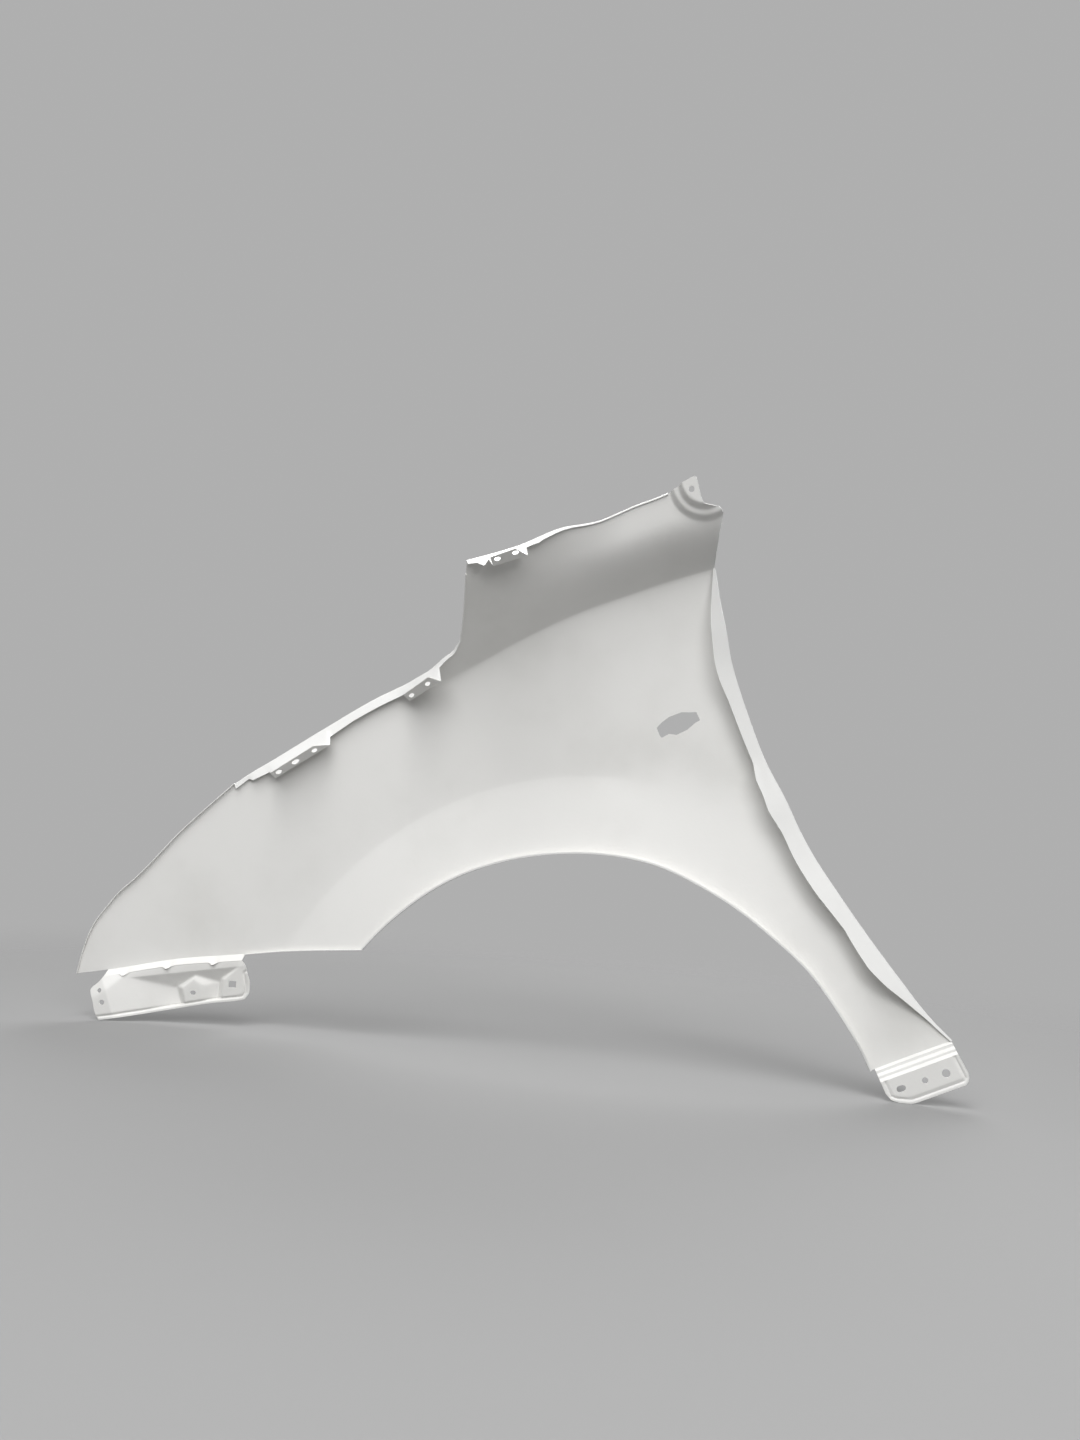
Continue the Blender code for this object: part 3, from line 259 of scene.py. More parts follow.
def ear_crossing(line, radius):
    """Place where an outline comes within a radius of the middle of the ear's steps."""
    line = np.array(line, float)
    away = np.hypot(*(line - [EAR_X, EAR_Z]).T)
    order = np.argsort(away)
    return np.array([np.interp(radius, away[order], line[order, k]) for k in (0, 1)])


def ear_arc(radius):
    """Arc of the ear's steps, from the hood edge round to the rear edge."""
    x = np.linspace(HOOD_PLACES[-1], EAR_TOP[0][0], 2 * CROSSING_STEPS)
    front = ear_crossing(np.stack([x, hood_line(x)], axis=-1), radius)
    rear = divided(EAR_TOP[-2:] + EAR_REAR, [CROSSING_STEPS] * (len(EAR_REAR) + 1))
    rear = ear_crossing(rear, radius)
    first, last = (math.atan2(z - EAR_Z, x - EAR_X) % (2 * math.pi) for x, z in (front, rear))
    angle = np.linspace(first, last, sum(EAR_RUNS) + 1)[1:-1]
    middle = np.stack([EAR_X + radius * np.cos(angle), EAR_Z + radius * np.sin(angle)], axis=-1)
    return np.concatenate([[front], middle, [rear]])


def upper_outline():
    """Outline above the shoulder crease: lamp edge, step, hood edge and the arc round the ear."""
    lamp = lamp_edge(finer([SHOULDER_FROM] + BAND_LAMP_PLACES[:-1]))
    step_z, hood_x = finer(STEP_PLACES[:-1]), finer(HOOD_PLACES)
    step = np.stack([curve(STEP_EDGE, step_z), step_z], axis=-1)
    arc = ear_arc(EAR_ROWS[0])
    hood = np.stack([hood_x, curve(HOOD_EDGE, hood_x)], axis=-1)
    return lamp, step, np.concatenate([hood, arc[:1]]), arc[1:]


def shoulder_points():
    """Points of the shoulder crease, one under each point of the upper outline, never closer
    than SHOULDER_APART and then stretched to the crease's two ends."""
    top = np.concatenate(upper_outline())
    last = SHOULDER_CREASE[-1][0]
    x = np.minimum(top[:, 0], last)
    reach = top[-1, 0] - last
    start = np.searchsorted(top[:, 0], last - 2 * reach)
    x[start:] = np.linspace(x[start], last, len(x) - start)
    apart = SHOULDER_APART * np.arange(len(x))
    x = np.maximum.accumulate(x - apart) + apart
    x = SHOULDER_FROM + (x - x[0]) * (last - SHOULDER_FROM) / (x[-1] - x[0])
    return np.stack([x, shoulder_line(x)], axis=-1)


band_top = np.concatenate(upper_outline())
stretches.append(on_skin(between(shoulder_points(), band_top, rows(BAND_ROWS))))
ear_arcs = [ear_arc(radius) for radius in finer(EAR_ROWS)]
ear_plate_top = divided([ear_arcs[-1][0]] + EAR_TOP + [ear_arcs[-1][-1]], EAR_RUNS)
stretches.append(on_skin(np.stack(ear_arcs)))
ear_plate_share = np.linspace(0, 1, EAR_PLATE_ROWS + 1)
stretches.append(on_skin(between(ear_arcs[-1], ear_plate_top, ear_plate_share)))

# Side of the fender: the stretch between the lower edge and the wheel arch below, and the nose,
# the headlamp edge, the shoulder crease and the door edge above.
NOSE_EDGE = [(-0.0357, 0.0518), (-0.0322, 0.0760), (-0.0198, 0.1169), (-0.0091, 0.1342),
             (0.0050, 0.1546), (0.0202, 0.1706), (0.0751, 0.2384), (0.1332, 0.2995)]
LOWER_EDGE = [(-0.0357, 0.0518), (-0.0062, 0.0571), (0.0822, 0.0765), (0.1574, 0.0868),
              (0.2044, 0.0937)]
DOOR_EDGE = [(0.7234, 0.5870), (0.7323, 0.5420), (0.7389, 0.5172), (0.7490, 0.4719),
             (0.7595, 0.4409), (0.7713, 0.4100), (0.7921, 0.3611), (0.8181, 0.3148),
             (0.8341, 0.2824), (0.8521, 0.2518), (0.8745, 0.2200), (0.8970, 0.1893),
             (0.9194, 0.1600), (0.9438, 0.1296), (0.9802, 0.0867), (1.0023, 0.0668)]
BRACKET_FROM, BRACKET_TO = -0.0012, 0.1616
SILL_END = (1.0023, 0.0668)
SILL_TAB_FROM = 4.9 * MM
LAMP_PLACES = [0.1332, 0.1410, 0.1490, 0.1530, 0.1630, 0.1730,
               *np.linspace(*LAMP_TAB_FRONT[:2], 7), 0.2450, 0.2550, 0.2640, 0.2739, 0.2860,
               0.2980, 0.3104, 0.3240, 0.3376, 0.3400]
TIP_COLUMNS, BRACKET_SIDE_COLUMNS, TAIL_COLUMNS, REAR_COLUMNS = 10, 50, 14, 64
FLARE_ROWS, SIDE_ROWS, SILL_FRONT_ROWS = 9, 22, 3
FLARE_SHARE = (0.10, 0.60)
WELD = 0.01 * MM


def along(points, share):
    """Smooth outline through (x, z) points, read at shares of its length."""
    points = np.array(points, float)
    length = np.append(0, np.cumsum(np.hypot(*np.diff(points, axis=0).T)))
    at = np.asarray(share, float) * length[-1]
    return np.stack([curve(list(zip(length, points[:, k])), at) for k in (0, 1)], axis=-1)


def lower_height(x):
    """Height of the skin's lower edge ahead of the wheel arch."""
    return curve(LOWER_EDGE + [tuple(arch_point(ARCH_FRONT_DEG))], x)


def side_columns():
    """Lower and upper ends of the side's columns, and how far each belongs to the sill's rows."""
    nose_x = np.concatenate([
        np.linspace(LOWER_EDGE[0][0], BRACKET_FROM, TIP_COLUMNS + 1)[:-1],
        np.linspace(BRACKET_FROM, BRACKET_TO, BRACKET_SIDE_COLUMNS + 1),
        np.linspace(BRACKET_TO, LOWER_EDGE[-1][0], TAIL_COLUMNS + 1)[1:]])
    nose_high = along(NOSE_EDGE, np.linspace(0, 1, len(nose_x)))
    lamp_high = lamp_edge(finer(LAMP_PLACES))[1:]
    split = len(lamp_high) // 2
    arch_x = float(arch_point(ARCH_FRONT_DEG)[0])
    lower_x = np.append(nose_x, np.linspace(LOWER_EDGE[-1][0], arch_x, split + 1)[1:])
    degrees = np.concatenate([
        np.linspace(ARCH_FRONT_DEG, ARCH_SHOULDER_DEG, len(lamp_high) - split + 1)[1:],
        np.linspace(ARCH_SHOULDER_DEG, ARCH_DOOR_DEG, len(band_top))[1:],
        np.linspace(ARCH_DOOR_DEG, ARCH_REAR_DEG, REAR_COLUMNS + 1)[1:]])
    low = np.concatenate([np.stack([lower_x, lower_height(lower_x)], axis=-1),
                          arch_point(degrees)])
    door = along(DOOR_EDGE, np.linspace(0, 1, REAR_COLUMNS + 1))
    high = np.concatenate([nose_high, lamp_high, shoulder_points()[1:], door[1:]])
    sill_part = np.append(np.zeros(len(low) - REAR_COLUMNS),
                          np.linspace(0, 1, REAR_COLUMNS + 1)[1:])
    return low, high, sill_part


def sill_frame():
    """Start, direction and length of the sill edge."""
    start, end = arch_point(ARCH_REAR_DEG), np.array(SILL_END)
    length = math.hypot(*(end - start))
    return start, (end - start) / length, length


def sill_shares():
    """Shares of the sill edge's length at the side's rows, the first run ahead of the tab."""
    first = SILL_TAB_FROM / sill_frame()[2]
    rest = rows(FLARE_ROWS + SIDE_ROWS - SILL_FRONT_ROWS)
    return np.concatenate([first * rows(SILL_FRONT_ROWS)[:-1], first + (1 - first) * rest])


def flare_share(low, high):
    """Share of each column at which it crosses the flare crease: the far root of the square
    equation of a straight line and a circle, kept within FLARE_SHARE."""
    centre = np.array([ARCH_X, ARCH_Z])
    run, start = high - low, low - centre
    a, b = (run ** 2).sum(-1), (run * start).sum(-1)
    c = (start ** 2).sum(-1) - FLARE_RADIUS ** 2
    root = np.sqrt(np.maximum(b * b - a * c, 0))
    return np.clip((-b + root) / np.maximum(a, WELD ** 2), *FLARE_SHARE)


low, high, sill_part = side_columns()
crossing = flare_share(low, high)
under = rows(FLARE_ROWS)[:, None] * crossing
over = crossing + rows(SIDE_ROWS)[1:, None] * (1 - crossing)
side_share = np.concatenate([under, over])
side_share = side_share + (sill_shares()[:, None] - side_share) * ease(sill_part)
stretches.append(on_skin(between(low, high, side_share)))

# Edge walls and tabs: a wall folded back over the inner side along the headlamp and hood edges,
# and three flat tabs folded up from it, two for the headlamp and one for the rail by the hood.
WALL_LEAN_DEG = 64.0
LAMP_WALL_DOWN_DEG, HOOD_WALL_DOWN_DEG = 30.5, 22.5
TAB_RISE_DEG = 21.0
LAMP_TAB_WALL = 26.3 * MM
HOOD_TAB_WALL = 18.8 * MM
LAMP_WALL = [(0.1332, 0.0060), (0.1490, 0.0047), (0.1530, 0.0105), (0.1730, 0.0129),
             (LAMP_TAB_FRONT[0], LAMP_TAB_WALL), (LAMP_TAB_FRONT[1], LAMP_TAB_WALL),
             (0.2450, 0.0150), (0.2739, 0.0122), (0.3104, 0.0125), (0.3376, 0.0127),
             (LAMP_TAB_REAR[0], LAMP_TAB_WALL), (LAMP_TAB_REAR[1], LAMP_TAB_WALL),
             (0.3890, 0.0068), (0.4006, 0.0047), (0.4120, 0.0037), (0.4200, 0.0025)]
STEP_WALL = 2.0 * MM
HOOD_WALL = [(0.4420, 0.0055), (0.4500, 0.0070), (0.4565, 0.0145), (0.4630, 0.0067),
             (HOOD_TAB[0], HOOD_TAB_WALL), (HOOD_TAB[1], HOOD_TAB_WALL), (0.5046, 0.0066),
             (0.5120, 0.0064), (0.5193, 0.0074), (0.5240, 0.0058), (0.5420, 0.0036),
             (0.5595, 0.0018), (0.6000, 0.0012)]
FOLD_RADIUS = 1.0 * MM
FOLD_ROWS, WALL_ROWS, TAB_ROWS = 6, 8, 8


def down_panel(degrees):
    """Direction down the inner face from an edge that rises rearwards at this angle."""
    angle = math.radians(degrees)
    return np.array([math.sin(angle), 0, -math.cos(angle)])


def turned(degrees, down):
    """Direction turned from straight inboard towards the given direction."""
    angle = math.radians(degrees)
    return np.array([0, -math.cos(angle), 0]) + math.sin(angle) * down


def tab_root(x, tab, wall):
    """Straight fold line between a wall and its tab, or its continuation: the wall is given by
    the outline of its edge, its depth at the tabs and its direction down the panel."""
    outline, depth, down = wall
    ends = np.stack([np.array(tab[:2]), curve(outline, tab[:2])], axis=-1)
    first, last = on_skin(ends) + turned(WALL_LEAN_DEG, down) * depth
    share = (np.asarray(x, float) - tab[0]) / (tab[1] - tab[0])
    return first + (last - first) * share[:, None]


def tab_rise(wall):
    """Direction in which a wall's tabs rise from their fold."""
    return turned(-TAB_RISE_DEG, wall[2])


def on_tab(x, tab):
    """Which of the places lie on a tab's root."""
    return (x > tab[0] - WELD) & (x < tab[1] + WELD)


def unit(vectors):
    """The same directions at length one."""
    return vectors / np.linalg.norm(vectors, axis=-1, keepdims=True)


def folded(edge, foot, within):
    """Rows from the skin's edge round a fold to a foot: an arc that starts along the skin's own
    heading t and turns towards the foot by an angle a, FOLD_RADIUS (sin a t + (1 - cos a) n)."""
    heading = unit(edge - on_skin(edge[:, [0, 2]] + np.asarray(within) * MM))
    run = unit(foot - edge)
    along_heading = (run * heading).sum(axis=1)[:, None]
    across = unit(run - along_heading * heading)
    angle = np.arccos(along_heading) * np.linspace(0, 1, FOLD_ROWS + 1)[:, None, None]
    radius = np.minimum(FOLD_RADIUS, np.linalg.norm(foot - edge, axis=1)[:, None] / 4)
    arc = edge + radius * (np.sin(angle) * heading + (1 - np.cos(angle)) * across)
    return np.concatenate([arc, between(arc[-1], foot, rows(WALL_ROWS))[1:]])


def edge_wall(edge, depth, wall, tabs):
    """Wall folded back from an edge over the inner side, straight where its tabs are rooted."""
    down = wall[2]
    foot = edge + turned(WALL_LEAN_DEG, down) * np.asarray(depth)[:, None]
    for tab in tabs:
        rooted = on_tab(edge[:, 0], tab)
        foot[rooted] = tab_root(edge[rooted, 0], tab, wall)
    return folded(edge, foot, down[[0, 2]])


def fixing_tab(edge, tab, wall):
    """Flat tab folded up from the deep wall; its free edge is shorter than its root."""
    root_from, root_to, free_from, free_to, front_length, rear_length = tab
    places = edge[on_tab(edge[:, 0], tab), 0]
    share = (places - root_from) / (root_to - root_from)
    free = tab_root(free_from + (free_to - free_from) * share, tab, wall)
    length = front_length + (rear_length - front_length) * share
    return between(tab_root(places, tab, wall), free + tab_rise(wall) * length[:, None],
                   rows(TAB_ROWS))


lamp_wall = LAMP_EDGE, LAMP_TAB_WALL, down_panel(LAMP_WALL_DOWN_DEG)
hood_wall = HOOD_EDGE, HOOD_TAB_WALL, down_panel(HOOD_WALL_DOWN_DEG)
band_lamp, step, hood, _ = upper_outline()
lamp_front = lamp_edge(finer(LAMP_PLACES)[:-FINER])
lamp_line = np.concatenate([lamp_front, band_lamp])
lamp_depth = np.append(broken(LAMP_WALL, lamp_line[:, 0]), np.full(len(step), STEP_WALL))
stretches.append(edge_wall(on_skin(np.concatenate([lamp_line, step])), lamp_depth, lamp_wall,
                           [LAMP_TAB_FRONT, LAMP_TAB_REAR]))
stretches.append(edge_wall(on_skin(hood), broken(HOOD_WALL, hood[:, 0]), hood_wall, [HOOD_TAB]))
stretches.append(fixing_tab(lamp_front, LAMP_TAB_FRONT, lamp_wall))
stretches.append(fixing_tab(band_lamp, LAMP_TAB_REAR, lamp_wall))
stretches.append(fixing_tab(hood, HOOD_TAB, hood_wall))

# Door flange: folded forward over the inner side along the door edge, its width wavering with the
# hinge pockets behind it.
DOOR_FLANGE_TURN_DEG = 45.0
DOOR_FLANGE = [(0.0668, 0.0015), (0.0880, 0.0036), (0.1020, 0.0090), (0.1140, 0.0148),
               (0.1300, 0.0232), (0.1490, 0.0285), (0.1680, 0.0268), (0.1876, 0.0236),
               (0.2263, 0.0290), (0.2619, 0.0290), (0.2856, 0.0265), (0.2970, 0.0292),
               (0.3123, 0.0335), (0.3349, 0.0285), (0.3500, 0.0272), (0.3593, 0.0200),
               (0.3663, 0.0192), (0.4140, 0.0212), (0.4333, 0.0222), (0.4561, 0.0262),
               (0.4737, 0.0268), (0.5202, 0.0225), (0.5535, 0.0115), (0.5870, 0.0020)]
DOOR_DENTS = [(0.3560, 0.67), (0.3470, 0.67), (0.3300, 0.80), (0.3120, 0.56), (0.2850, 0.75),
              (0.2740, 0.54), (0.2050, 0.85)]
DENT_LONG, DENT_WIDE, DENT_DEPTH = 3.2 * MM, 4.5 * MM, 0.8 * MM


def door_flange():
    """Straight rows from the door edge, turned forward and inboard square to the edge, and
    pressed in by DENT_DEPTH exp(-(distance from a dent / its size) squared)."""
    edge = along(DOOR_EDGE, np.linspace(0, 1, REAR_COLUMNS + 1))
    heading = unit(np.gradient(edge, axis=0))
    into = standing(heading[:, ::-1] * [1, -1], 0)
    direction = turned(DOOR_FLANGE_TURN_DEG, into)
    width = broken(DOOR_FLANGE, edge[:, 1])
    start = on_skin(edge)
    flange = folded(start, start + direction * width[:, None], into[:, [0, 2]])
    square = np.cross(direction, standing(heading, 0))
    dents = sum(np.exp(-((edge[:, 1] - height) / DENT_LONG) ** 2
                       - ((rows(WALL_ROWS)[1:, None] - share) * width / DENT_WIDE) ** 2)
                for height, share in DOOR_DENTS)
    flange[FOLD_ROWS + 1:] += square * (DENT_DEPTH * dents)[..., None]
    return flange


stretches.append(door_flange())

# Narrow returns: the free edges of the nose and of the lower edge are turned a few millimetres
# inboard, and the lip round the wheel arch is turned inboard and then up a little.
NOSE_TIP_RETURN, NOSE_RETURN = 2.0 * MM, 4.0 * MM
LOWER_RETURN = 4.0 * MM
CORNER_RETURN = 3.0 * MM
ARCH_LIP = 10.0 * MM
ARCH_LIP_FOLD = 1.6 * MM
NOSE_FADE, TAIL_FADE, LIP_FADE = 1 / 2, 2 / 3, 1 / 12
RETURN_ROWS = 4


def inboard_return(line, start, full, grown):
    """Rows turned straight inboard from a line: the width goes from start to full with the
    smooth step of the shares that it has grown by."""
    width = start + (full - start) * ease(grown)
    return between(line, line + np.array([0, -1, 0]) * width[:, None], rows(RETURN_ROWS))


nose_count = int(np.argmin(np.abs(high[:, 0] - NOSE_EDGE[-1][0]))) + 1
nose_share = np.linspace(0, 1, nose_count)
stretches.append(inboard_return(on_skin(high[:nose_count]), NOSE_TIP_RETURN, NOSE_RETURN,
                                nose_share / NOSE_FADE))

arch_start = int(np.argmin(np.hypot(*(low - arch_point(ARCH_FRONT_DEG)).T)))
bracket_start = int(np.argmin(np.abs(low[:arch_start, 0] - BRACKET_FROM)))
bracket_end = int(np.argmin(np.abs(low[:arch_start, 0] - BRACKET_TO)))
tail_line = on_skin(low[bracket_end:arch_start + 1])
stretches.append(inboard_return(tail_line, CORNER_RETURN, LOWER_RETURN,
                                np.linspace(1, 0, len(tail_line)) / TAIL_FADE))

arch_line = on_skin(low[arch_start:])
arch_share = np.linspace(0, 1, len(arch_line))
arch_lip = inboard_return(arch_line, CORNER_RETURN, ARCH_LIP,
                          np.minimum(arch_share, 1 - arch_share) / LIP_FADE)
away = standing(unit(low[arch_start:] - [ARCH_X, ARCH_Z]), 0)
lip_fold = between(arch_lip[-1], arch_lip[-1] + away * ARCH_LIP_FOLD, [0, 0.5, 1])
stretches.append(np.concatenate([arch_lip, lip_fold[1:]]))

# Bumper bracket: a shelf folded inboard from the lower front edge, notched by three darts, and the
# plate that hangs from it, pressed with a sloping pocket, a slotted boss, two flat fixing plates
# and a rim groove along its foot and its rear edge.
SHELF_INBOARD = 9.0 * MM
SHELF_DROP = 7.5 * MM
SHELF_DARTS = [0.0225, 0.0725, 0.1275]
SHELF_DART, DART_DEPTH, DART_HOLLOW = 4.2 * MM, 3.0 * MM, 3.2 * MM
BRACKET_FRONT = [(-0.0012, 0.0498), (-0.0058, 0.0434), (-0.0145, 0.0327), (-0.0106, 0.0200),
                 (-0.0053, 0.0038), (-0.0012, -0.0022)]
BRACKET_REAR = [(0.1616, 0.0800), (0.1662, 0.0746), (0.1704, 0.0634), (0.1740, 0.0518),
                (0.1739, 0.0403), (0.1696, 0.0331)]
BRACKET_FOOT = [(-0.0012, -0.0022), (0.0115, 0.0), (0.0807, 0.0148), (0.1300, 0.0258),
                (0.1630, 0.0312), (0.1696, 0.0331)]
BRACKET_PRESS = (-0.52, 1.0, -0.166)
BRACKET_CREASE = 0.9 * MM
POCKET_TOP = [(0.0310, 0.0510), (0.1590, 0.0723)]
POCKET_TOP_SLOPE = 0.46
FLOOR_SLOPE_X, FLOOR_SLOPE_Z = 0.17, 0.126
GUSSET_SLOPE = 0.42
BOSS_LEVEL = -0.5 * MM
BOSS = [(0.0970, 0.0260), (0.0924, 0.0417), (0.1047, 0.0535), (0.1157, 0.0468), (0.1180, 0.0286)]
BOSS_SLOPES = [1.7, 1.6, 0.50, 0.34]
SQUARE_PLATE = [(0.1410, 0.0270), (0.1423, 0.0552), (0.1590, 0.0723)]
SQUARE_PLATE_SLOPES = [1.5, 1.5]
END_FOLD = [(0.0122, 0.0079), (-0.0001, 0.0405)]
END_FOLD_SLOPE = 0.32
RIM_INSET = 4.2 * MM
RIM_WIDTH = 1.3 * MM
RIM_DEPTH = 1.6 * MM
# Each hole: its place in x and z, and its half width and half height.
BRACKET_HOLES = [(-0.0042, 0.0332, 0.0028, 0.0028), (0.0002, 0.0191, 0.0031, 0.0031),
                 (0.1059, 0.0367, 0.0035, 0.0026)]
BRACKET_SQUARE_HOLE = (0.1528, 0.0501, 0.0046, 0.0040)
BRACKET_COLUMNS, BRACKET_ROWS, SHELF_ROWS = 140, 62, 6


def four_sided(lines, u, v):
    """Grid of points between four border lines (top, bottom, front, rear): the two ruled surfaces
    between facing lines are added, and the surface through the corners is taken off."""
    top, bottom, front, rear = lines
    u, v = np.asarray(u)[None, :, None], np.asarray(v)[:, None, None]
    ruled = top[None] * (1 - v) + bottom[None] * v + front[:, None] * (1 - u) + rear[:, None] * u
    corners = (top[0] * (1 - u) * (1 - v) + top[-1] * u * (1 - v)
               + bottom[0] * (1 - u) * v + bottom[-1] * u * v)
    return ruled - corners


def away_from(line, places):
    """Distance of places from the nearest point of a line of straight runs."""
    best = np.full(places.shape[:-1], np.inf)
    for first, last in zip(np.array(line[:-1], float), np.array(line[1:], float)):
        run = last - first
        t = np.clip(((places - first) @ run) / (run @ run), 0, 1)
        point = first + t[..., None] * run
        best = np.minimum(best, np.hypot(*np.moveaxis(places - point, -1, 0)))
    return best


def beside(first, last, places):
    """Signed distance of places from the straight line through two points, left of it positive."""
    run = unit(np.subtract(last, first))
    return (places[..., 1] - first[1]) * run[0] - (places[..., 0] - first[0]) * run[1]


def lesser(first, second):
    """The smaller of two heights, with the crease between them rounded: half their sum less half
    the root of their squared difference plus the crease's square."""
    apart = np.sqrt((first - second) ** 2 + BRACKET_CREASE ** 2)
    return (first + second - apart) / 2


def greater(first, second):
    """The larger of two heights, with the crease between them rounded."""
    return -lesser(-first, -second)


def plateau(level, outline, slopes, flat):
    """Flat top at a level, with a bank outside each run of its outline that runs off outboard at
    its own slope."""
    height = np.full(flat.shape[:-1], level)
    for first, last, slope in zip(outline[:-1], outline[1:], slopes):
        height = greater(height, level + slope * beside(first, last, flat))
    return height


def fold_height(x):
    """Height of the fold between the bracket's shelf and its plate, without the darts."""
    return lower_height(x) - SHELF_DROP


def bracket_relief(flat):
    """How far the bracket's pocket, gusset, boss, plates and rim groove stand off its plane: each
    is a set of sloping planes, joined as lesser and greater heights. The groove is a bell curve
    of the distance from the rim, and outside it the boss and the plates are left out."""
    x, z = flat[..., 0], flat[..., 1]
    pocket_x, pocket_z = POCKET_TOP[0]
    ceiling = POCKET_TOP_SLOPE * np.maximum(0, broken(POCKET_TOP, x) - z)
    bottom = FLOOR_SLOPE_X * (x - pocket_x) + FLOOR_SLOPE_Z * (z - pocket_z)
    gusset = GUSSET_SLOPE * (z - fold_height(x))
    pocket = greater(lesser(ceiling, bottom), gusset)
    boss = plateau(BOSS_LEVEL, BOSS, BOSS_SLOPES, flat)
    plate = plateau(0.0, SQUARE_PLATE, SQUARE_PLATE_SLOPES, flat)
    end = END_FOLD_SLOPE * np.maximum(0, beside(*END_FOLD, flat))
    rim = away_from(BRACKET_FOOT + BRACKET_REAR[-2:1:-1], flat)
    groove = RIM_DEPTH * np.exp(-((rim - RIM_INSET) / RIM_WIDTH) ** 2)
    edge = lesser(pocket, BOSS_LEVEL)
    pressed = lesser(lesser(pocket, boss), plate)
    inside = ease((rim - RIM_INSET + RIM_WIDTH) / (2 * RIM_WIDTH))
    return edge + (pressed - edge) * inside + end + groove


def on_bracket(flat):
    """Points of the bracket's plate over (x, z) places: its plane plus the relief times
    BRACKET_PRESS, the slanting way in which it is pressed."""
    flat = np.asarray(flat)
    plane = standing(flat, skin(flat[..., 0], lower_height(flat[..., 0])) - SHELF_INBOARD)
    return plane + bracket_relief(flat)[..., None] * np.array(BRACKET_PRESS)


def dart_notch(x):
    """How deep the darts notch the shelf: a bell curve for each, 1 in its middle."""
    return sum(np.exp(-((x - place) / SHELF_DART) ** 2) for place in SHELF_DARTS)


def shelf_fold(x):
    """Fold line between the shelf and the plate, notched by the darts."""
    level = skin(x, lower_height(x)) - SHELF_INBOARD - DART_DEPTH * dart_notch(x)
    return np.stack([x, level, fold_height(x) - DART_DEPTH * dart_notch(x)], axis=-1)


def bracket():
    """Bumper plate over an even grid between its outlines, with its relief pressed in."""
    u, v = np.linspace(0, 1, BRACKET_COLUMNS + 1), rows(BRACKET_ROWS)
    fold = shelf_fold(BRACKET_FROM + (BRACKET_TO - BRACKET_FROM) * u)
    front, rear = np.array(BRACKET_FRONT), np.array(BRACKET_REAR)
    front = front + (fold[0, [0, 2]] - front[0]) * np.linspace(1, 0, len(front))[:, None]
    rear = rear + (fold[-1, [0, 2]] - rear[0]) * np.linspace(1, 0, len(rear))[:, None]
    lines = fold[:, [0, 2]], along(BRACKET_FOOT, u), along(front, v), along(rear, v)
    plate = on_bracket(four_sided(lines, u, v))
    plate[0] = fold
    return plate


bracket_plate = bracket()
stretches.append(bracket_plate)
shelf_line = on_skin(low[bracket_start:bracket_end + 1])
shelf_share = rows(SHELF_ROWS)[:-1]
shelf_rows = between(shelf_line, shelf_line + np.array([0, -SHELF_INBOARD, -SHELF_DROP]),
                     shelf_share)
shelf_rows[..., 2] -= (DART_HOLLOW * np.sin(math.pi * shelf_share / 2)[:, None]
                       * dart_notch(shelf_rows[..., 0]))
stretches.append(shelf_rows)
seams.append((shelf_rows[-1], bracket_plate[0]))

# Sill tab: joggled inboard in three small steps under the lower rear edge, then a flat plate with
# three holes and a pressed rim groove, which is bolted to the sill.
SILL_TAB_LENGTH = 45.0 * MM
SILL_TAB_SPREAD = 1.8 * MM
SILL_JOGGLE = [(0.0, 0.0), (0.0022, 0.0032), (0.0050, 0.0033), (0.0074, 0.0068),
               (0.0102, 0.0069), (0.0130, 0.0105)]
SILL_CORNER = [(0.0, 0.0195), (0.0027, 0.0113), (0.0089, 0.0065), (0.0160, 0.0030),
               (0.0215, 0.0006), (0.0280, 0.0)]
SILL_REAR_CORNER = [(0.0, 0.0110), (0.0012, 0.0060), (0.0035, 0.0025), (0.0070, 0.0)]
SILL_RIM_INSET = 4.6 * MM
SILL_RIM_WIDTH = 1.3 * MM
SILL_RIM_DEPTH = 1.3 * MM
# Each hole: its place along and below the edge, and its half width and half height.
SILL_HOLES = [(0.0224, 0.0260, 0.0050, 0.0033), (0.0491, 0.0265, 0.0033, 0.0033),
              (0.0725, 0.0270, 0.0044, 0.0044)]
SILL_COLUMNS, JOGGLE_ROWS, SILL_ROWS = 56, 18, 26


def sill_point(along_edge, down):
    """Places in (x, z) that lie along and below the sill edge by the given distances."""
    start, heading, _ = sill_frame()
    square = np.array([heading[1], -heading[0]])
    along_edge, down = np.asarray(along_edge)[..., None], np.asarray(down)[..., None]
    return start + along_edge * heading + down * square


def sill_level(along_edge):
    """How far outboard the straight line between the sill edge's ends lies."""
    start, _, length = sill_frame()
    first, last = float(skin(*start)), float(skin(*SILL_END))
    return first + (last - first) * np.asarray(along_edge) / length


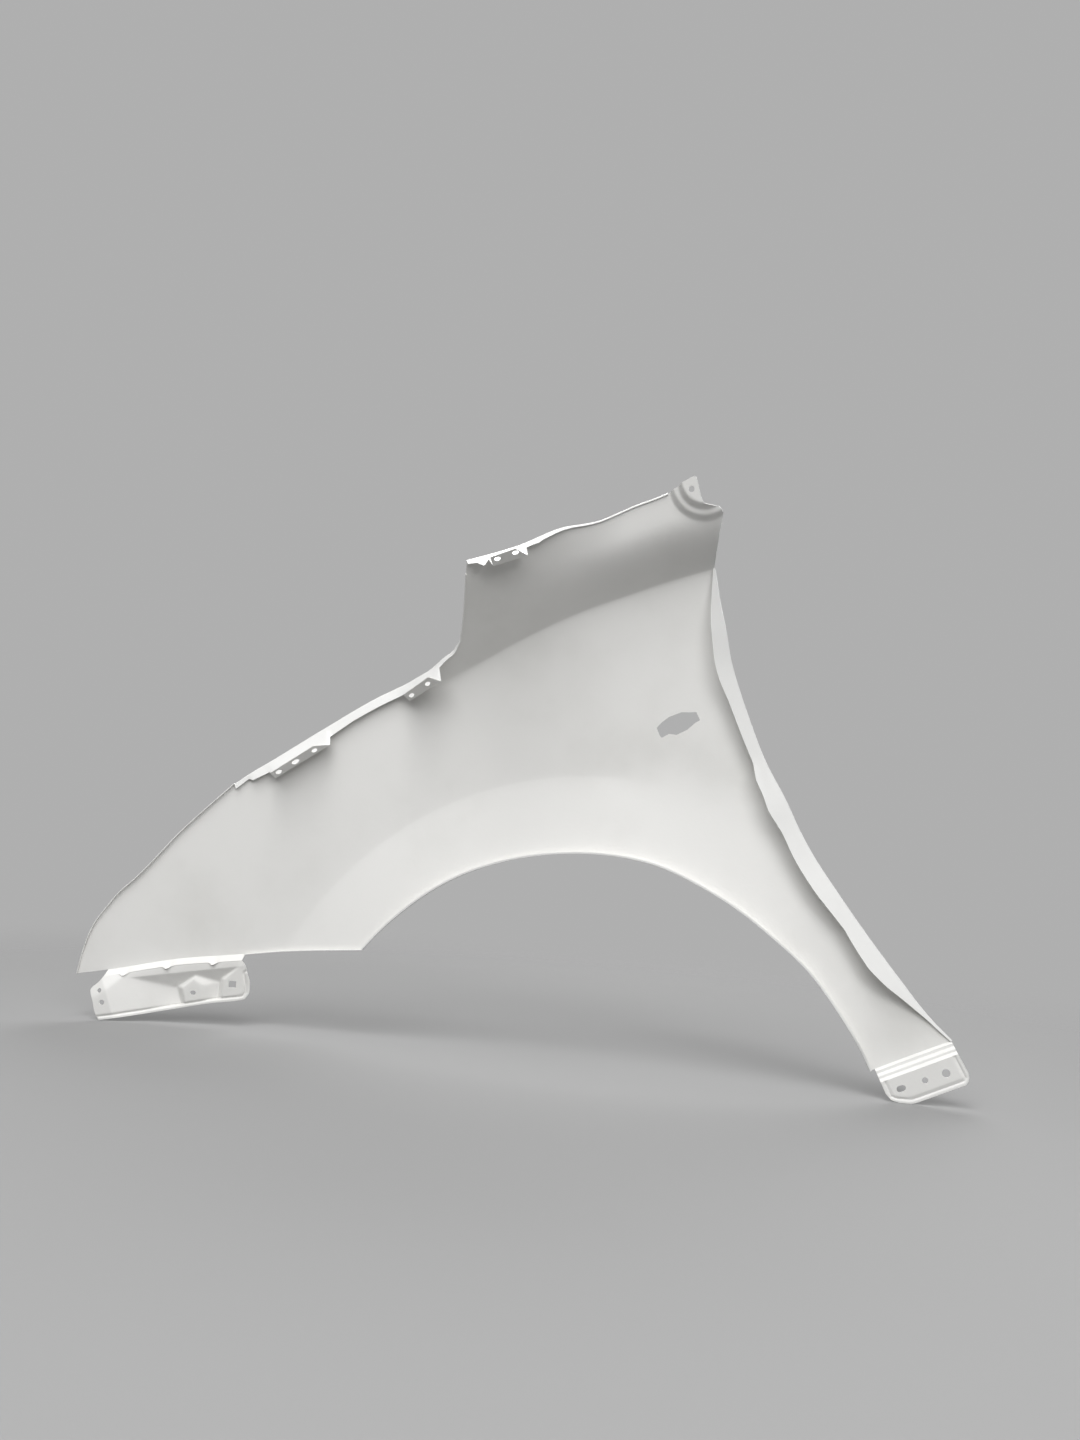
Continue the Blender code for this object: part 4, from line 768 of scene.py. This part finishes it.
def sill_tab():
    """Rows of the joggle below the sill edge, then rows of the plate down to its round corners."""
    length = sill_frame()[2]
    side = SILL_TAB_FROM + (length - SILL_TAB_FROM) * rows(SILL_COLUMNS)
    edge_level = on_skin(sill_point(side, 0))[:, 1]
    last_down, last_inboard = SILL_JOGGLE[-1]
    stack = []
    for down in last_down * np.linspace(0, 1, JOGGLE_ROWS + 1)[1:]:
        share = ease(down / last_down)
        level = edge_level + (sill_level(side) - edge_level) * share
        stack.append(standing(sill_point(side, down), level - broken(SILL_JOGGLE, down)))
    from_front, from_rear = side - side[0], side[-1] - side
    bottom = (SILL_TAB_LENGTH - broken(SILL_CORNER, from_front)
              - broken(SILL_REAR_CORNER, from_rear))
    for share in rows(SILL_ROWS)[1:]:
        down = last_down + (bottom - last_down) * share
        flat = sill_point(side + SILL_TAB_SPREAD * (side / length) * share, down)
        rim = np.minimum(np.minimum(from_front, from_rear), bottom - down)
        groove = SILL_RIM_DEPTH * np.exp(-((rim - SILL_RIM_INSET) / SILL_RIM_WIDTH) ** 2)
        stack.append(standing(flat, sill_level(side) - last_inboard + groove))
    return np.stack(stack)


sill_plate = sill_tab()
stretches.append(sill_plate)
sill_side = sill_shares()[SILL_FRONT_ROWS:] * sill_frame()[2]
seams.append((on_skin(sill_point(sill_side, 0)), sill_plate[0]))

# Holes: punched through the finished sheet, round or slotted in the tabs, the ear and the two
# plates, one square for a clip nut, and the oval with two notches that takes the side lamp.
LAMP_HOLE = [(0.6634, 0.3969), (0.6687, 0.4031), (0.6776, 0.4103), (0.6920, 0.4163),
             (0.6998, 0.4165), (0.7102, 0.4170), (0.7148, 0.4075), (0.7095, 0.4043),
             (0.7003, 0.3958), (0.6878, 0.3892), (0.6786, 0.3901), (0.6700, 0.3851),
             (0.6676, 0.3873)]
EAR_HOLE = (0.6965, 0.6600)
EAR_HOLE_RADIUS = 3.3 * MM
# Each tab's holes: their place in x, their distance from the fold, half width and half height.
TAB_HOLES = [
    (LAMP_TAB_FRONT, lamp_wall, [(0.1846, 0.0075, 0.0040, 0.0040),
                                 (0.2048, 0.0075, 0.0050, 0.0042),
                                 (0.2274, 0.0072, 0.0038, 0.0038)]),
    (LAMP_TAB_REAR, lamp_wall, [(0.3485, 0.0080, 0.0040, 0.0040),
                                (0.3721, 0.0105, 0.0040, 0.0040)]),
    (HOOD_TAB, hood_wall, [(0.4736, 0.0105, 0.0040, 0.0035), (0.4938, 0.0115, 0.0040, 0.0035)]),
]
HOLE_SIDES = 32
CUTTER_REACH, TAB_CUTTER_REACH = 14.0 * MM, 3.0 * MM
# The measured point that comes to lie on the lowest corner of the frame's box, and the way there.
SHEET_LOW = np.array([-0.036534, -0.076300, -0.001619])
shift = np.array(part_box("fender_panel")[0]) - SHEET_LOW


def prism(outline, axis):
    """Points and faces of an outline swept both ways along an axis: the outline less and plus the
    axis, an end face on each, and a quad from each point to the next."""
    count = len(outline)
    near = np.arange(count)
    after = np.roll(near, -1)
    sides = np.stack([after, near, near + count, after + count], axis=-1)
    ends = [near.tolist(), (near[::-1] + count).tolist()]
    return np.concatenate([outline - axis, outline + axis]), ends + sides.tolist()


def slot(centre, wide, high, half_width, half_height):
    """Slot in the plane of two directions: a circle of the half height, whose two halves are
    moved apart to the half width. Rounding leaves the points whose cosine is 0 in the middle."""
    turns = np.linspace(0, 2 * math.pi, HOLE_SIDES, endpoint=False)[:, None]
    apart = max(half_width - half_height, 0)
    across = half_height * np.cos(turns) + apart * np.sign(np.round(np.cos(turns), 6))
    return centre + across * wide + half_height * np.sin(turns) * high


def tab_prisms(tab, wall, holes):
    """Prisms for the holes of one tab, square to it."""
    prisms = []
    for x, distance, half_width, half_height in holes:
        ends = tab_root([x - MM, x + MM], tab, wall)
        wide, high = unit(ends[1] - ends[0]), tab_rise(wall)
        centre = ends.mean(axis=0) + high * distance
        axis = unit(np.cross(wide, high)) * TAB_CUTTER_REACH
        prisms.append(prism(slot(centre, wide, high, half_width, half_height), axis))
    return prisms


def hole_prisms():
    """A prism for every hole in the sheet: those of the tabs, and straight through the rest."""
    across, outboard, up = np.eye(3)
    lamp_hole = standing(LAMP_HOLE, on_skin(LAMP_HOLE)[:, 1].mean())
    ear_hole = slot(on_skin(EAR_HOLE), across, up, EAR_HOLE_RADIUS, EAR_HOLE_RADIUS)
    outlines = [lamp_hole, ear_hole]
    for x, z, half_width, half_height in BRACKET_HOLES:
        outlines.append(slot(on_bracket((x, z)), across, up, half_width, half_height))
    x, z, half_width, half_height = BRACKET_SQUARE_HOLE
    corners = np.array([(-1, -1), (1, -1), (1, 1), (-1, 1)]) * [half_width, half_height]
    outlines.append(on_bracket((x, z)) + corners @ [across, up])
    _, heading, _ = sill_frame()
    wide, high = standing(heading, 0), standing(heading[::-1] * [-1, 1], 0)
    for place, down, half_width, half_height in SILL_HOLES:
        centre = standing(sill_point(place, down), sill_level(place))
        outlines.append(slot(centre, wide, high, half_width, half_height))
    in_tabs = [hole for row in TAB_HOLES for hole in tab_prisms(*row)]
    return in_tabs + [prism(outline, outboard * CUTTER_REACH) for outline in outlines]


def welded(name, shapes, inboard=False):
    """One object of several shapes, each given by its points and its faces, placed on the frame:
    points that meet are merged, and faces look outwards, or inboard on an open sheet."""
    points, faces, count = [], [], 0
    for shape_points, shape_faces in shapes:
        points.append(shape_points)
        faces += [[count + corner for corner in face] for face in shape_faces]
        count += len(shape_points)
    mesh = bpy.data.meshes.new(name)
    mesh.from_pydata((np.concatenate(points) + shift).tolist(), [], faces)
    bm = bmesh.new()
    bm.from_mesh(mesh)
    bmesh.ops.remove_doubles(bm, verts=bm.verts, dist=WELD)
    bmesh.ops.dissolve_degenerate(bm, edges=bm.edges, dist=WELD)
    bmesh.ops.recalc_face_normals(bm, faces=bm.faces)
    if inboard and sum(face.normal.y * face.calc_area() for face in bm.faces) > 0:
        bmesh.ops.reverse_faces(bm, faces=bm.faces)
    bm.to_mesh(mesh)
    bm.free()
    thing = bpy.data.objects.new(name, mesh)
    bpy.context.scene.collection.objects.link(thing)
    return thing


# The pressed sheet: all the stretches are one piece of steel, so they are welded into one mesh
# that faces inboard, given its thickness outboard and punched, and painted white all over.
SHEET = 0.8 * MM
SMOOTH_DEG = 38


def grid_faces(points):
    """Quads between neighbouring rows and columns."""
    count = np.arange(points.shape[0] * points.shape[1]).reshape(points.shape[:2])
    corners = count[:-1, :-1], count[:-1, 1:], count[1:, 1:], count[1:, :-1]
    return np.stack(corners, axis=-1).reshape(-1, 4).tolist()


def seam_faces(near, far):
    """Triangles between two lines: the line whose next point comes first moves on."""
    shares = []
    for line in (near, far):
        length = np.append(0, np.cumsum(np.linalg.norm(np.diff(line, axis=0), axis=1)))
        shares.append(length[1:] / length[-1])
    order = np.argsort(np.concatenate(shares), kind="stable")
    on_near = order < len(near) - 1
    i = np.append(0, np.cumsum(on_near))
    j = np.append(0, np.cumsum(~on_near)) + len(near)
    return np.stack([i[:-1], j[:-1], np.where(on_near, i[1:], j[1:])], axis=-1).tolist()


shapes = [(stretch.reshape(-1, 3), grid_faces(stretch)) for stretch in stretches]
shapes += [(np.concatenate(seam), seam_faces(*seam)) for seam in seams]
raw_sheet = welded("raw_sheet", shapes, inboard=True)
thickness = raw_sheet.modifiers.new("sheet_thickness", "SOLIDIFY")
thickness.thickness = SHEET
thickness.offset = -1
thickness.material_offset = 1
thickness.material_offset_rim = 0
punch = raw_sheet.modifiers.new("holes", "BOOLEAN")
punch.operation = "DIFFERENCE"
punch.solver = "EXACT"
punch.object = welded("hole_cutters", hole_prisms())

# The white paint: a satin coat on the inner side, with a faint orange peel, some grey dust and a
# little dulling, and a glossy clear-coated white on the outer side, which is meant to be seen.
PEEL_SCALE, PEEL_DETAIL = 260.0, 2.0
DUST_SCALE, DUST_DETAIL = 7.0, 5.0
DUST_TO = 0.85


def paint_film():
    """Shader group: two noises in Object coordinates give the peel's height and a dust mask,
    which is the smooth step of its noise from Dust From up to DUST_TO."""
    group = bpy.data.node_groups.new("paint_film", "ShaderNodeTree")
    face = group.interface
    dust_from = face.new_socket(name="Dust From", in_out="INPUT", socket_type="NodeSocketFloat")
    dust_from.default_value = 0.5
    for name in ("Peel", "Dust"):
        face.new_socket(name=name, in_out="OUTPUT", socket_type="NodeSocketFloat")
    nodes, links = group.nodes, group.links
    given, made = nodes.new("NodeGroupInput"), nodes.new("NodeGroupOutput")
    place = nodes.new("ShaderNodeTexCoord")
    peel, dust = nodes.new("ShaderNodeTexNoise"), nodes.new("ShaderNodeTexNoise")
    for noise, scale, detail in ((peel, PEEL_SCALE, PEEL_DETAIL), (dust, DUST_SCALE, DUST_DETAIL)):
        noise.inputs["Scale"].default_value = scale
        noise.inputs["Detail"].default_value = detail
        links.new(place.outputs["Object"], noise.inputs["Vector"])
    spread = nodes.new("ShaderNodeMapRange")
    spread.interpolation_type = "SMOOTHSTEP"
    spread.inputs["From Max"].default_value = DUST_TO
    links.new(dust.outputs["Fac"], spread.inputs["Value"])
    links.new(given.outputs["Dust From"], spread.inputs["From Min"])
    links.new(peel.outputs["Fac"], made.inputs["Peel"])
    links.new(spread.outputs["Result"], made.inputs["Dust"])
    return group


def white_paint(name, film_group, clean, dusty, peel_height, dust_from):
    """Paint whose colour and roughness, a pair each, go over from clean to dusty with the film's
    dust mask, over the bump of its peel."""
    material = bpy.data.materials.new(name)
    material.use_nodes = True
    nodes, links = material.node_tree.nodes, material.node_tree.links
    shader = nodes["Principled BSDF"]
    film = nodes.new("ShaderNodeGroup")
    film.node_tree = film_group
    film.inputs["Dust From"].default_value = dust_from
    tint = nodes.new("ShaderNodeMix")
    tint.data_type = "RGBA"
    gloss = nodes.new("ShaderNodeMapRange")
    for (colour, rough), tint_end, gloss_end in ((clean, 6, "To Min"), (dusty, 7, "To Max")):
        tint.inputs[tint_end].default_value = (*colour, 1)
        gloss.inputs[gloss_end].default_value = rough
    links.new(film.outputs["Dust"], tint.inputs[0])
    links.new(tint.outputs[2], shader.inputs["Base Color"])
    links.new(film.outputs["Dust"], gloss.inputs["Value"])
    links.new(gloss.outputs["Result"], shader.inputs["Roughness"])
    bump = nodes.new("ShaderNodeBump")
    bump.inputs["Strength"].default_value = 1.0
    bump.inputs["Distance"].default_value = peel_height
    links.new(film.outputs["Peel"], bump.inputs["Height"])
    links.new(bump.outputs["Normal"], shader.inputs["Normal"])
    return material, shader


film_group = paint_film()
inner_white, inner_shader = white_paint(
    "inner_white_paint", film_group, clean=((0.80, 0.795, 0.775), 0.42),
    dusty=((0.70, 0.695, 0.67), 0.58), peel_height=0.06 * MM, dust_from=0.42)
outer_white, outer_shader = white_paint(
    "outer_white_paint", film_group, clean=((0.82, 0.82, 0.805), 0.30),
    dusty=((0.78, 0.78, 0.765), 0.38), peel_height=0.03 * MM, dust_from=0.60)
inner_shader.inputs["Specular IOR Level"].default_value = 0.4
outer_shader.inputs["Coat Weight"].default_value = 1.0
outer_shader.inputs["Coat Roughness"].default_value = 0.04
raw_sheet.data.materials.append(inner_white)
raw_sheet.data.materials.append(outer_white)
bpy.context.view_layer.update()
finished = bpy.data.meshes.new_from_object(
    raw_sheet.evaluated_get(bpy.context.evaluated_depsgraph_get()))
finished.shade_smooth()
finished.set_sharp_from_angle(angle=math.radians(SMOOTH_DEG))
fender_sheet = bpy.data.objects.new("fender_sheet", finished)
bpy.context.scene.collection.objects.link(fender_sheet)
bpy.data.objects.remove(punch.object)
bpy.data.objects.remove(raw_sheet)
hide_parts("fender_panel")
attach(fender_sheet, "root")

# Studio: a pale floor that fades into a plain grey backdrop under a soft sky. Three soft lamps
# stand on the viewer's side, a large one in front, one high up and one low at the side, and a
# large one on the far side lights the painted outer face.
FLOOR_RADIUS, FLOOR_FADE_FROM, FLOOR_FADE_TO = 6.0, 0.55, 1.7
BACKDROP = 0.43
FLOOR_SEEN, FLOOR_LIT = 0.30, 0.20
SKY_LOW, SKY_HIGH = 0.09, 0.40
SKY_FROM, SKY_TO = -0.3, 0.7
LAMPS_FACE = (0, 0, 0.3)


def disc(name, radius, count=96):
    """Flat disc: a middle point and a rim at radius times (cos, sin) of even angles."""
    turns = np.linspace(0, 2 * math.pi, count, endpoint=False)
    rim = np.stack([np.cos(turns), np.sin(turns), 0 * turns], axis=-1) * radius
    before, after = np.arange(count) + 1, np.roll(np.arange(count), -1) + 1
    faces = np.stack([0 * before, before, after], axis=-1)
    mesh = bpy.data.meshes.new(name)
    mesh.from_pydata([(0, 0, 0), *rim.tolist()], [], faces.tolist())
    thing = bpy.data.objects.new(name, mesh)
    bpy.context.scene.collection.objects.link(thing)
    return thing


def set_range(map_range, from_low, from_high, to_low, to_high):
    """The two ranges of a Map Range node."""
    names = ("From Min", "From Max", "To Min", "To Max")
    for name, value in zip(names, (from_low, from_high, to_low, to_high)):
        map_range.inputs[name].default_value = value


def seen(nodes, links):
    """One where the ray comes from the camera, a reflection or a see-through, else zero."""
    path = nodes.new("ShaderNodeLightPath")
    total = path.outputs["Is Camera Ray"]
    for name in ("Is Glossy Ray", "Is Transmission Ray"):
        add = nodes.new("ShaderNodeMath")
        add.operation = "ADD"
        add.use_clamp = True
        links.new(total, add.inputs[0])
        links.new(path.outputs[name], add.inputs[1])
        total = add.outputs[0]
    return total


floor = disc("floor", FLOOR_RADIUS)
floor_paper = bpy.data.materials.new("floor_paper")
floor_paper.use_nodes = True
nodes, links = floor_paper.node_tree.nodes, floor_paper.node_tree.links
shader = nodes["Principled BSDF"]
shader.inputs["Roughness"].default_value = 0.9
shader.inputs["Specular IOR Level"].default_value = 0.1
tone = nodes.new("ShaderNodeMix")
tone.data_type = "RGBA"
tone.inputs[6].default_value = (FLOOR_LIT, FLOOR_LIT, FLOOR_LIT, 1)
tone.inputs[7].default_value = (FLOOR_SEEN, FLOOR_SEEN, FLOOR_SEEN, 1)
links.new(seen(nodes, links), tone.inputs[0])
links.new(tone.outputs[2], shader.inputs["Base Color"])
place, away = nodes.new("ShaderNodeTexCoord"), nodes.new("ShaderNodeVectorMath")
away.operation = "LENGTH"
links.new(place.outputs["Object"], away.inputs[0])
fade = nodes.new("ShaderNodeMapRange")
fade.interpolation_type = "SMOOTHERSTEP"
set_range(fade, FLOOR_FADE_FROM, FLOOR_FADE_TO, 1, 0)
links.new(away.outputs["Value"], fade.inputs["Value"])
links.new(fade.outputs["Result"], shader.inputs["Alpha"])
floor.data.materials.append(floor_paper)

world = bpy.data.worlds.new("studio")
bpy.context.scene.world = world
world.use_nodes = True
nodes, links = world.node_tree.nodes, world.node_tree.links
sky = nodes["Background"]
place, split = nodes.new("ShaderNodeTexCoord"), nodes.new("ShaderNodeSeparateXYZ")
links.new(place.outputs["Generated"], split.inputs[0])
rise = nodes.new("ShaderNodeMapRange")
rise.interpolation_type = "SMOOTHSTEP"
set_range(rise, SKY_FROM, SKY_TO, SKY_LOW, SKY_HIGH)
links.new(split.outputs["Z"], rise.inputs["Value"])
pick = nodes.new("ShaderNodeMix")
links.new(seen(nodes, links), pick.inputs[0])
links.new(rise.outputs["Result"], pick.inputs[2])
pick.inputs[3].default_value = BACKDROP
links.new(pick.outputs[0], sky.inputs["Color"])


def soft_lamp(name, at, size, power):
    """Square area lamp of that size and power at a place, turned to face the fender."""
    light = bpy.data.lights.new(name, "AREA")
    light.size, light.energy = size, power
    lamp = bpy.data.objects.new(name, light)
    bpy.context.scene.collection.objects.link(lamp)
    lamp.location = at
    facing = Vector(LAMPS_FACE) - Vector(at)
    lamp.rotation_euler = facing.to_track_quat("-Z", "Y").to_euler()


soft_lamp("key_lamp", (-0.30, -1.85, 2.25), size=2.2, power=48)
soft_lamp("top_lamp", (-0.20, -0.75, 2.9), size=1.0, power=28)
soft_lamp("side_lamp", (1.3, -1.95, 1.6), size=1.0, power=18)
soft_lamp("far_lamp", (0.3, 2.4, 2.2), size=2.2, power=60)

# Camera: low in front of the inner side, looking slightly up, at the photograph's own angle. Its
# place is measured as the sheet's points are, and its lens is given for a frame 36 mm high.
CAMERA_AT = (0.76990, -1.27592, 0.25295)
CAMERA_TURN_DEG = (96.26357, -3.72749, 10.31123)
LENS_MM, SENSOR_MM = 27.5, 36.0
camera = bpy.data.objects.new("camera", bpy.data.cameras.new("camera"))
bpy.context.scene.collection.objects.link(camera)
camera.location = np.array(CAMERA_AT) + shift
camera.rotation_euler = np.radians(CAMERA_TURN_DEG)
camera.data.lens, camera.data.sensor_width = LENS_MM, SENSOR_MM
bpy.context.scene.camera = camera
bpy.context.scene.view_settings.view_transform = "Standard"
